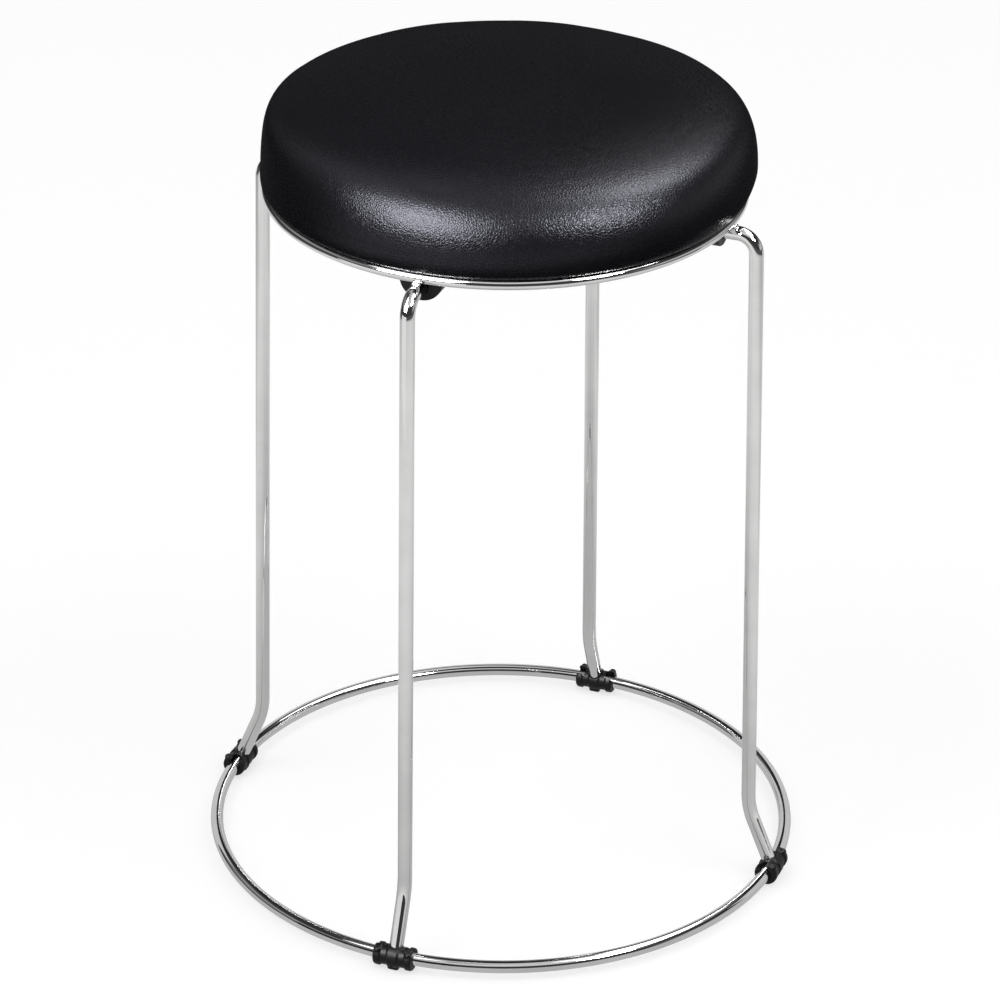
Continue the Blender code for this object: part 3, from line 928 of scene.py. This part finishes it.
CLOTH_RADIUS = BOARD_RADIUS - CLOTH_MARGIN
CLOTH_RINGS = 44
CLOTH_STEPS = 240
CLOTH_RING_POWER = 0.9
CLOTH_WOBBLE = 0.0035
CLOTH_SAG = 0.000168
CLOTH_SAG_FADE = 0.01
STAPLE_COUNT = 20
STAPLE_INSET = 0.006
STAPLE_PRESS = 0.00025
STAPLE_PRESS_REACH = 0.006
STAPLE_SIZE = (0.0100, 0.0011, 0.0006)
STAPLE_LEG_SIZE = (0.0007, 0.0011, 0.0030)
STAPLE_LEG_SIDE = 0.00465
STAPLE_LEG_RISE = 0.0012
STAPLE_DROP = 0.0002
STAPLE_EDGE = 0.00015


def staple_spots():
    """Each staple's angle, radius and twist, as a hand sets them."""
    rng = random.Random(7)
    spots = []
    for k in range(STAPLE_COUNT):
        angle = math.tau * (k + 0.5) / STAPLE_COUNT + rng.uniform(-0.04, 0.04)
        radius = CLOTH_RADIUS - STAPLE_INSET + rng.uniform(-0.001, 0.001)
        spots.append((angle, radius, rng.uniform(-0.25, 0.25)))
    return spots


def cloth_point(r, angle, staples):
    """A point of the cloth, which sags a little and is pressed up at its staples."""
    wobble = CLOTH_WOBBLE * noise.noise(Vector(turned(5, angle, 1.3)))
    x, y, _ = turned(r * (1 + wobble * (r / CLOTH_RADIUS) ** 6), angle)
    nearest = min(math.dist((x, y), staple) for staple in staples)
    press = math.exp(-((nearest / STAPLE_PRESS_REACH) ** 2))
    loose = 0.5 + 0.5 * noise.noise(Vector((x * 30, y * 30, 0.4)))
    sag = CLOTH_SAG * loose * min(1.0, (CLOTH_RADIUS - r) / CLOTH_SAG_FADE + 0.1)
    return x, y, CLOTH_BOTTOM + STAPLE_PRESS * press - sag * (1 - press)


def make_bottom_cloth(look, spots):
    staples = [turned(radius, angle)[:2] for angle, radius, _ in spots]
    points = [(0, 0, CLOTH_BOTTOM)]
    for ring in range(1, CLOTH_RINGS + 1):
        r = CLOTH_RADIUS * (ring / CLOTH_RINGS) ** CLOTH_RING_POWER
        points += [cloth_point(r, math.tau * k / CLOTH_STEPS, staples) for k in range(CLOTH_STEPS)]
    faces = [(0, 1 + n, 1 + k) for k, n in neighbours(CLOTH_STEPS)]
    for ring in range(CLOTH_RINGS - 1):
        low, high = 1 + ring * CLOTH_STEPS, 1 + (ring + 1) * CLOTH_STEPS
        faces += [(low + k, low + n, high + n, high + k) for k, n in neighbours(CLOTH_STEPS)]
    item = add("dust_cloth", mesh_from("dust_cloth", points, faces))
    thick = item.modifiers.new("Thickness", "SOLIDIFY")
    thick.thickness = CLOTH_THICKNESS * 0.6
    thick.offset = 0
    settle(item)
    outward(item.data)
    finish_piece(item, look, "bottom_cloth", "bottom_cloth")


def make_staples(zinc, spots):
    form = bmesh.new()
    bars = [(STAPLE_SIZE, (0, 0, 0))]
    bars += [(STAPLE_LEG_SIZE, (end * STAPLE_LEG_SIDE, 0, STAPLE_LEG_RISE)) for end in (-1, 1)]
    for angle, radius, twist in spots:
        turn = Matrix.Rotation(angle + math.pi / 2 + twist, 4, "Z")
        place = Matrix.Translation(turned(radius, angle, CLOTH_BOTTOM - STAPLE_DROP))
        for size, offset in bars:
            bar = bmesh.ops.create_cube(form, size=1.0)["verts"]
            bmesh.ops.scale(form, vec=size, verts=bar)
            bmesh.ops.translate(form, vec=offset, verts=bar)
            bmesh.ops.transform(form, matrix=place @ turn, verts=bar)
    staples = add("staples", mesh_of("staples", form))
    soften(staples, STAPLE_EDGE, 2)
    settle(staples)
    finish_piece(staples, zinc, "zinc_plate")


# Pads and screws

PAD_STEPS = 48
PAD_EDGE = 0.0008
PAD_SLOT_LIFT = 0.00001
SCREW_TOP = 0.004
SCREW_EDGE = 0.00012
HEAD_STEPS = 12
HEAD_CROWN = 0.75
HEAD_FLAT = 0.45
HEAD_POWER = 0.7
CROSS_SIZE = (0.0044, 0.00085, 0.0028)
CROSS_TURN = 0.3
CROSS_POINT = (0.0011, 0.0004)
CROSS_DEPTH = 0.0019


def make_pads(plastic):
    """Half-round stacking pads: fine edges, the leg's channel, the screw's sunk hole."""
    section = [turned(PAD_RADIUS, angle)[:2] for angle in steps_between(math.pi, math.tau, PAD_STEPS)]
    points = []
    for x in (PAD_INNER_END, PAD_OUTER_END):
        points += [(x, y, LEVEL_ROD_TOP + z) for y, z in section]
    count = len(section)
    faces = [tuple(range(count)), tuple(reversed(range(count, 2 * count)))]
    faces += [(k, n, count + n, count + k) for k, n in neighbours(count)]
    pad = add("pad", outward(mesh_from("pad", points, faces)))
    soften(pad, PAD_EDGE, 3, angle=50)
    channel = LEG_ROD + FIT / 2
    start, end = LEG_INNER_END - FIT, PAD_OUTER_END + PAD_RADIUS
    bore = cylinder("pad_bore", channel, (start, 0, LEVEL_ROD_AXIS), (end, 0, LEVEL_ROD_AXIS), 40)
    slot = block("pad_slot", (end - start, 2 * channel, PAD_RADIUS),
                 ((start + end) / 2, 0, LEVEL_ROD_AXIS + PAD_RADIUS / 2 + PAD_SLOT_LIFT))
    low, high = ((SCREW_RADIUS, 0, z) for z in (SCREW_HEAD_SEAT - PAD_RADIUS, LEVEL_ROD_TOP + PAD_RADIUS))
    hole = cylinder("pad_hole", SCREW_SHANK + FIT, low, high, 32)
    sink = cylinder("pad_sink", SCREW_HEAD + FIT, low, (SCREW_RADIUS, 0, SCREW_HEAD_SEAT - FIT), 40)
    settle(pad, [combine(pad, tool, "DIFFERENCE") for tool in (bore, slot, hole, sink)])
    moulded(pad, voxel=0.00040, passes=3, share=0.45)
    at_sides(pad, "stacking_pad", plastic, "black_plastic", angle=50)


def make_screws(zinc):
    """Pan heads with a cross recess, sunk in the pads."""
    seat = SCREW_HEAD_SEAT - 2 * FIT
    bottom = seat - SCREW_HEAD_HEIGHT
    profile = [(0.0, seat + SCREW_TOP), (SCREW_SHANK, seat + SCREW_TOP), (SCREW_SHANK, seat),
               (SCREW_HEAD * 0.96, seat)]
    for angle in steps_between(0, math.pi / 2, HEAD_STEPS):
        radius = SCREW_HEAD * (HEAD_FLAT + (1 - HEAD_FLAT) * math.cos(angle) ** HEAD_POWER)
        profile.append((radius, bottom + SCREW_HEAD_HEIGHT * HEAD_CROWN * (1 - math.sin(angle))))
    profile.append((0.0, bottom))
    screw = add("screw", lathe_mesh("screw", profile, 40))
    tools = []
    for turn in (CROSS_TURN, CROSS_TURN + math.pi / 2):
        tool = block("cross", CROSS_SIZE, (0, 0, bottom))
        tool.rotation_euler = (0, 0, turn)
        tools.append(tool)
    wide, narrow = CROSS_POINT
    tools.append(cylinder("cross_point", wide, (0, 0, bottom - 0.001), (0, 0, bottom + CROSS_DEPTH), 24,
                          narrow))
    settle(screw, [combine(screw, tool, "DIFFERENCE") for tool in tools])
    soften(screw, SCREW_EDGE, 2, angle=35)
    settle(screw)
    screw.data.transform(Matrix.Translation((SCREW_RADIUS, 0, 0)))
    at_sides(screw, "seat_screw", zinc, "zinc_plate")


# Foot clips

CLIP_BEVEL = 0.0006
CLIP_FILLET = 0.0002
CLIP_ROUNDING = 0.0007
ROUNDED_STEPS = 4
ROUNDED_SHARE = 0.45
SOLE_MARGIN = 0.0004
SOLE_EDGE = 0.0015
BEAD_SEAT = 0.9
BORE_HALF_ANGLE = math.radians(7)


def rounded(points, radius):
    """The open outline with a small arc at each inner corner."""
    result = [points[0]]
    for before, here, after in zip(points, points[1:], points[2:]):
        before, here, after = Vector(before), Vector(here), Vector(after)
        back, ahead = before - here, after - here
        reach = min(radius, back.length * ROUNDED_SHARE, ahead.length * ROUNDED_SHARE)
        one = here + back.normalized() * reach
        two = here + ahead.normalized() * reach
        for t in steps_between(0, 1, ROUNDED_STEPS):
            result.append(tuple(one * (1 - t) ** 2 + here * (2 * t * (1 - t)) + two * t**2))
    result.append(points[-1])
    return result


def clip_barrel(axis, tilt):
    band, collar, end = CLIP_MIDDLE / 2, CLIP_MIDDLE / 2 + CLIP_NECK, CLIP_LENGTH / 2
    half = [
        (0.0, end),
        (CLIP_OUTER - CLIP_BEVEL, end),
        (CLIP_OUTER, end - 2 * CLIP_BEVEL),
        (CLIP_OUTER, collar + CLIP_BEVEL),
        (CLIP_NECK_OUTER, collar + CLIP_FILLET),
        (CLIP_NECK_OUTER, band - CLIP_FILLET),
        (CLIP_OUTER, band - CLIP_FILLET - CLIP_BEVEL),
    ]
    outline = half + [(r, -z) for r, z in reversed(half)]
    clip = add("clip", lathe_mesh("clip", rounded(outline, CLIP_ROUNDING), 96))
    clip.rotation_euler = (-math.pi / 2, tilt, 0)
    clip.location = axis
    return settle(clip)


def clip_additions(axis, up_leg, tilt):
    """The flat sole and the two beads on the collars."""
    size = (SOLE_WIDTH, CLIP_MIDDLE - SOLE_MARGIN, RING_AXIS - BASE_ROD / 2)
    sole = block("clip_sole", size, (BASE_RING_RADIUS, 0, size[2] / 2))
    soften(sole, SOLE_EDGE, 4)
    tools = [sole]
    outward_side = Matrix.Rotation(BEAD_ANGLE, 3, "Y") @ up_leg
    for sign in (-1, 1):
        form = bmesh.new()
        bmesh.ops.create_uvsphere(form, u_segments=32, v_segments=20, radius=BEAD_RADIUS)
        bead = add("clip_bead", mesh_of("clip_bead", form))
        bead.rotation_euler = (0, tilt, 0)
        bead.location = axis + outward_side * (BASE_ROD + FIT + BEAD_RADIUS * BEAD_SEAT)
        bead.location.y = sign * (CLIP_LENGTH - CLIP_COLLAR) / 2
        tools.append(bead)
    return tools


def clip_cuts(axis, up_leg, tilt):
    """The bore, a mouth over each collar, the slit, room for the leg and the dimple."""
    middle = axis - up_leg * BASE_ROD / 3
    height = 3 * CLIP_OUTER
    centre = middle + up_leg * height / 2
    tools = [add("clip_bore", torus_mesh("clip_bore", BASE_RING_RADIUS, BASE_ROD + FIT * 0.4, RING_AXIS,
                                         24, 44, -BORE_HALF_ANGLE, BORE_HALF_ANGLE))]
    mouth_start = CLIP_MIDDLE / 2 + CLIP_NECK - MOUTH_INTO_NECK
    mouth_size = (MOUTH_WIDTH, CLIP_LENGTH - mouth_start, height)
    for sign in (-1, 1):
        place = (centre.x, sign * (mouth_start + mouth_size[1] / 2), centre.z)
        tools.append(block("clip_mouth", mouth_size, place, tilt))
    tools.append(block("clip_slit", (SLIT_WIDTH, 2 * CLIP_LENGTH, height), centre, tilt))
    tools.append(cylinder("clip_leg_room", LEG_ROD + FIT, axis, axis + up_leg * KINK_RISE, 48))
    dimple_in = math.sqrt(CLIP_OUTER**2 - BASE_ROD**2) - DIMPLE_DEPTH
    ends = [axis + Vector((x, 0, -BASE_ROD)) for x in (dimple_in, 2 * CLIP_OUTER)]
    tools.append(cylinder("clip_dimple", DIMPLE_RADIUS, *ends, 32))
    return tools


def make_clips(plastic):
    """Moulded foot clips: banded barrel, flat sole, open collars with beads, slit straps."""
    axis = Vector((BASE_RING_RADIUS, 0.0, RING_AXIS))
    up_leg = foot_direction()
    tilt = math.atan2(up_leg.x, up_leg.z)
    clip = clip_barrel(axis, tilt)
    tools = [combine(clip, tool, "UNION") for tool in clip_additions(axis, up_leg, tilt)]
    tools += [combine(clip, tool, "DIFFERENCE") for tool in clip_cuts(axis, up_leg, tilt)]
    settle(clip, tools)
    moulded(clip, voxel=0.00024, passes=3, share=0.30)
    at_sides(clip, "foot_clip", plastic, "black_plastic", angle=50)


# Weld beads

WELD_RADIUS = 0.0013
WELD_REACH = 0.62
WELD_LIFT = 0.0002
WELD_POINTS = 5
WELD_FINENESS = 8
WELD_RIPPLES = 5


def weld_bead(name, points, seed):
    """A rippled bead along the points, thin at both ends."""
    rng = random.Random(seed)
    fine = []
    for one, two in zip(points, points[1:]):
        fine += [one.lerp(two, k / WELD_FINENESS) for k in range(WELD_FINENESS)]
    fine.append(points[-1])
    last = len(fine) - 1
    frames, radii = [], []
    for k in range(last + 1):
        t = k / last
        ahead = fine[min(k + 1, last)] - fine[max(k - 1, 0)]
        across = ahead.cross(Vector((0, 0, 1))).normalized()
        swell = (1 - abs(2 * t - 1) ** 3) ** 0.5 if 0 < t < 1 else 0.05
        ripple = 1 + 0.10 * math.sin(math.tau * t * WELD_RIPPLES + rng.uniform(0, 0.3))
        ripple += rng.uniform(-0.03, 0.03)
        frames.append((across, across.cross(ahead).normalized()))
        radii.append((WELD_RADIUS * swell * ripple,) * 2)
    return tube_mesh(name, fine, frames, radii, sides=16)


def make_welds(weld):
    """Beads where each leg meets the seat ring, on its inner and its outer side."""
    for side, degrees in SIDES.items():
        for where, offset in (("in", -1), ("out", 1)):
            r = SEAT_RING_RADIUS + offset * SEAT_ROD * WELD_REACH
            row = []
            half = LEG_ROD * WELD_REACH
            for y in steps_between(-half, half, WELD_POINTS - 1):
                sink = LEG_ROD - math.sqrt(LEG_ROD**2 - y**2)
                row.append(Vector((r, y, LEVEL_ROD_TOP - sink * 0.6 + WELD_LIFT)))
            name = f"weld_{where}_{side}"
            mesh = weld_bead(name, row, seed=degrees + offset + 5)
            mesh.transform(Matrix.Rotation(math.radians(degrees), 4, "Z"))
            finish_piece(add(name, mesh), weld, "chrome", angle=80)


# The studio

# Radiance that polished parts see, by height above the horizon in degrees
SKY_CAMERA_SIDE = ((0, 0.05), (31, 0.05), (42, 0.85), (90, 0.90))
SKY_LEFT = ((0, 0.04), (9, 0.04), (19, 0.33), (33, 0.33), (42, 0.04), (60, 0.05), (75, 0.40), (90, 0.80))
SKY_RIGHT = ((0, 0.70), (10, 0.60), (22, 0.04), (43, 0.04), (52, 0.55), (62, 0.85), (90, 0.80))
SKY_FAR_SIDE = ((0, 0.06), (10, 0.03), (58, 0.02), (75, 0.80), (90, 0.85))
# Where one part of it passes into the next, measured to the camera's right or towards the camera
LEFT_TO_RIGHT = (-0.10, 0.10)
FAR_TO_SIDES = (-0.78, -0.45)
SIDES_TO_CAMERA = (0.25, 0.55)
SKY_LIGHT = 0.60
FLOOR_COLOUR = 0.42
FLOOR_GLOW = 0.675
FLOOR_HALF = 9
# What polished parts see of the floor: a pool of light in front, shaded round the stool's axis
FLOOR_SHADED = ((0.0, 0.58), (0.25, 0.66), (0.45, 0.86), (0.75, 1.0))
POOL = ((0.0, 1.0), (0.80, 0.95), (1.20, 0.60), (1.60, 0.10))
POOL_CENTRE = 0.30
FLOOR_REACH = 2.0
CARD_STEPS = 64
BACK_CARD = {"name": "card_back", "radius": 0.62, "height": 0.358, "start": 90, "end": 243, "glow": 0.72}
SIDE_CARD = {"name": "card_side", "radius": 1.00, "height": 0.40, "start": -75, "end": -16, "glow": 1.0}
# Each lamp's azimuth, from the camera's side to its right, and elevation in degrees, then its
# distance from the seat, its two sides, its power, and whether it is more than a reflection
LAMPS = {
    "softbox_left": (-60, 55, 2.4, (1.0, 1.0), 9, True),
    "softbox_right": (60, 55, 2.4, (1.0, 1.0), 9, True),
    "gloss_left": (-40, 28.5, 1.6, (1.0, 0.82), 75, False),
    "gloss_right": (46, 35, 1.6, (0.50, 0.42), 29, False),
    "gloss_far_right": (101, 56, 1.6, (0.86, 0.62), 25, False),
    "gloss_back_right": (146, 46, 1.6, (0.45, 0.50), 2.0, False),
    "gloss_far_left": (-100, 60, 1.6, (1.4, 1.2), 4.5, False),
    "low_fill": (-15, -20, 1.0, (4.0, 0.55), 6, False),
}


def make_sky():
    """White for the camera, even for soft light, and banded for polished parts."""
    world = bpy.data.worlds.new("studio")
    bpy.context.scene.world = world
    tree = Tree(world)
    tree.nodes.clear()
    towards = tree.node("TexCoord", {}, "Generated")
    height = tree.node("SeparateXYZ", {0: towards}, 2)
    camera_side, left, right, far = (
        tree.grey_ramp(height, [(math.sin(math.radians(degrees)), grey) for degrees, grey in stops])
        for stops in (SKY_CAMERA_SIDE, SKY_LEFT, SKY_RIGHT, SKY_FAR_SIDE))
    to_right, to_camera = (
        tree.node("VectorMath", {0: towards, 1: axis}, "Value", operation="DOT_PRODUCT")
        for axis in camera_axes())
    beside = tree.blend(tree.span(to_right, *LEFT_TO_RIGHT), left, right)
    sky = tree.blend(tree.span(to_camera, *FAR_TO_SIDES), far, beside)
    sky = tree.blend(tree.span(to_camera, *SIDES_TO_CAMERA), sky, camera_side)
    shader = tree.node("Background", {"Color": (1, 1, 1), "Strength": SKY_LIGHT})
    for ray, colour in (("Is Glossy Ray", sky), ("Is Camera Ray", (1, 1, 1))):
        ground = tree.node("Background", {"Color": colour, "Strength": 1.0})
        shader = tree.node("MixShader", {0: tree.node("LightPath", {}, ray), 1: shader, 2: ground})
    tree.put(tree.nodes.new("ShaderNodeOutputWorld").inputs[0], shader)


def grey_by_distance(tree, place, centre, stops):
    away = tree.node("VectorMath", {0: place, 1: centre}, "Value", operation="DISTANCE")
    share = tree.maths("DIVIDE", away, FLOOR_REACH)
    return tree.grey_ramp(share, [(distance / FLOOR_REACH, grey) for distance, grey in stops])


def make_floor():
    """A plain floor. Polished parts see it as a pool of light that fades with distance."""
    corners = [(x * FLOOR_HALF, y * FLOOR_HALF, 0) for x, y in ((-1, -1), (1, -1), (1, 1), (-1, 1))]
    floor = add("floor", mesh_from("floor", corners, [(0, 1, 2, 3)]))
    tree = new_tree("floor_white")
    floor.data.materials.append(tree.surface({
        "Base Color": (FLOOR_COLOUR, FLOOR_COLOUR, FLOOR_COLOUR),
        "Roughness": 0.9,
        "Specular IOR Level": 0.1,
        "Emission Color": (1, 1, 1),
        "Emission Strength": tree.maths("MULTIPLY", tree.node("LightPath", {}, "Is Camera Ray"), FLOOR_GLOW),
    }))
    place = tree.place()
    pool = tree.node("Emission", {
        "Color": grey_by_distance(tree, place, (0, 0, 0), FLOOR_SHADED),
        "Strength": grey_by_distance(tree, place, camera_axes()[1] * POOL_CENTRE, POOL),
    })
    glossy = tree.node("LightPath", {}, "Is Glossy Ray")
    mixed = tree.node("MixShader", {0: glossy, 1: tree.nodes["Principled BSDF"].outputs[0], 2: pool})
    tree.put(tree.nodes["Material Output"].inputs["Surface"], mixed)
    return floor


def make_card(name, radius, height, start, end, glow):
    """A low pale card round the stool, from one angle to another. Only reflections show it."""
    _, front = camera_axes()
    points, faces = [], []
    for degrees in steps_between(start, end, CARD_STEPS):
        place = Matrix.Rotation(math.radians(degrees), 3, "Z") @ front * radius
        points += [(place.x, place.y, 0.0), (place.x, place.y, height)]
    for k in range(CARD_STEPS):
        faces.append((2 * k, 2 * k + 2, 2 * k + 3, 2 * k + 1))
    card = add(name, mesh_from(name, points, faces))
    card.data.materials.append(new_tree(name).surface({
        "Base Color": (0, 0, 0),
        "Roughness": 1.0,
        "Emission Color": (1, 1, 1),
        "Emission Strength": glow,
    }))
    for rays in ("camera", "diffuse", "shadow", "transmission"):
        setattr(card, f"visible_{rays}", False)
    return card


def link_light(name, item, sources, state):
    """INCLUDE: the sources light this item alone. EXCLUDE: they light all but this item."""
    group = bpy.data.collections.new(name)
    group.objects.link(item)
    for member in group.collection_objects:
        member.light_linking.link_state = state
    for source in sources:
        source.light_linking.receiver_collection = group


def make_lamp(name, azimuth, elevation, distance, size, power, lights_all):
    """A soft box that faces the seat."""
    towards = direction(CAMERA_AZIMUTH + math.radians(azimuth), math.radians(elevation))
    data = bpy.data.lights.new(name, "AREA")
    data.shape = "RECTANGLE"
    data.size, data.size_y = size
    data.energy = power
    lamp = add(name, data)
    lamp.location = Vector((0, 0, SEAT_RING_HEIGHT)) + towards * distance
    lamp.rotation_mode = "QUATERNION"
    lamp.rotation_quaternion = (-towards).to_track_quat("-Z", "Y")
    lamp.visible_diffuse = lights_all
    return lamp


def make_camera():
    right, _ = camera_axes()
    back = direction(CAMERA_AZIMUTH, CAMERA_ELEVATION)
    up = back.cross(right)
    cr, sr = math.cos(CAMERA_ROLL), math.sin(CAMERA_ROLL)
    axes = (right * cr - up * sr, right * sr + up * cr, back)
    place = right * AIM_SIDE + Vector((0, 0, AIM_HEIGHT)) + back * CAMERA_DISTANCE
    data = bpy.data.cameras.new("camera")
    data.lens = CAMERA_LENS
    data.sensor_width = SENSOR_WIDTH
    data.clip_start, data.clip_end = CAMERA_CLIP
    camera = add("camera", data)
    camera.matrix_world = Matrix.Translation(place) @ Matrix(axes).transposed().to_4x4()
    bpy.context.scene.camera = camera


clear_defaults()
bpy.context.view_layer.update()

make_camera()
bpy.context.scene.view_settings.view_transform = "Standard"
make_sky()
CARD_SIDE = make_card(**SIDE_CARD)
GLOWING = [make_floor(), make_card(**BACK_CARD)]
LIGHTS = {name: make_lamp(name, *settings) for name, settings in LAMPS.items()}

CHROME = chrome_material()
VINYL = vinyl_material()
PLASTIC = plastic_material()
ZINC = zinc_material()
CLOTH = cloth_material()
PLYWOOD = plywood_material()

BASE_RING = make_ring("base_ring", CHROME, BASE_RING_RADIUS, BASE_ROD, RING_AXIS, steps=240, sides=32)
make_ring("seat_ring", CHROME, SEAT_RING_RADIUS, SEAT_ROD, SEAT_RING_HEIGHT, steps=216, sides=28)
make_legs(CHROME)
make_welds(weld_material())
CUSHION = make_cushion(VINYL)
SPOTS = staple_spots()
make_bottom_cloth(CLOTH, SPOTS)
make_staples(ZINC, SPOTS)
make_pads(PLASTIC)
make_screws(ZINC)
make_clips(PLASTIC)

link_light("kept_off_base_ring", BASE_RING, [CARD_SIDE, LIGHTS["gloss_left"]], "EXCLUDE")
link_light("kept_off_cushion", CUSHION, GLOWING, "EXCLUDE")
link_light("cushion_alone", CUSHION, [LIGHTS["gloss_far_left"], LIGHTS["low_fill"]], "INCLUDE")

for node, look in {"seat_board": PLYWOOD, **{f"tee_nut_{side}": ZINC for side in SIDES}}.items():
    solid = frame["nodes"][node]
    solid.data.materials.clear()
    solid.data.materials.append(look)
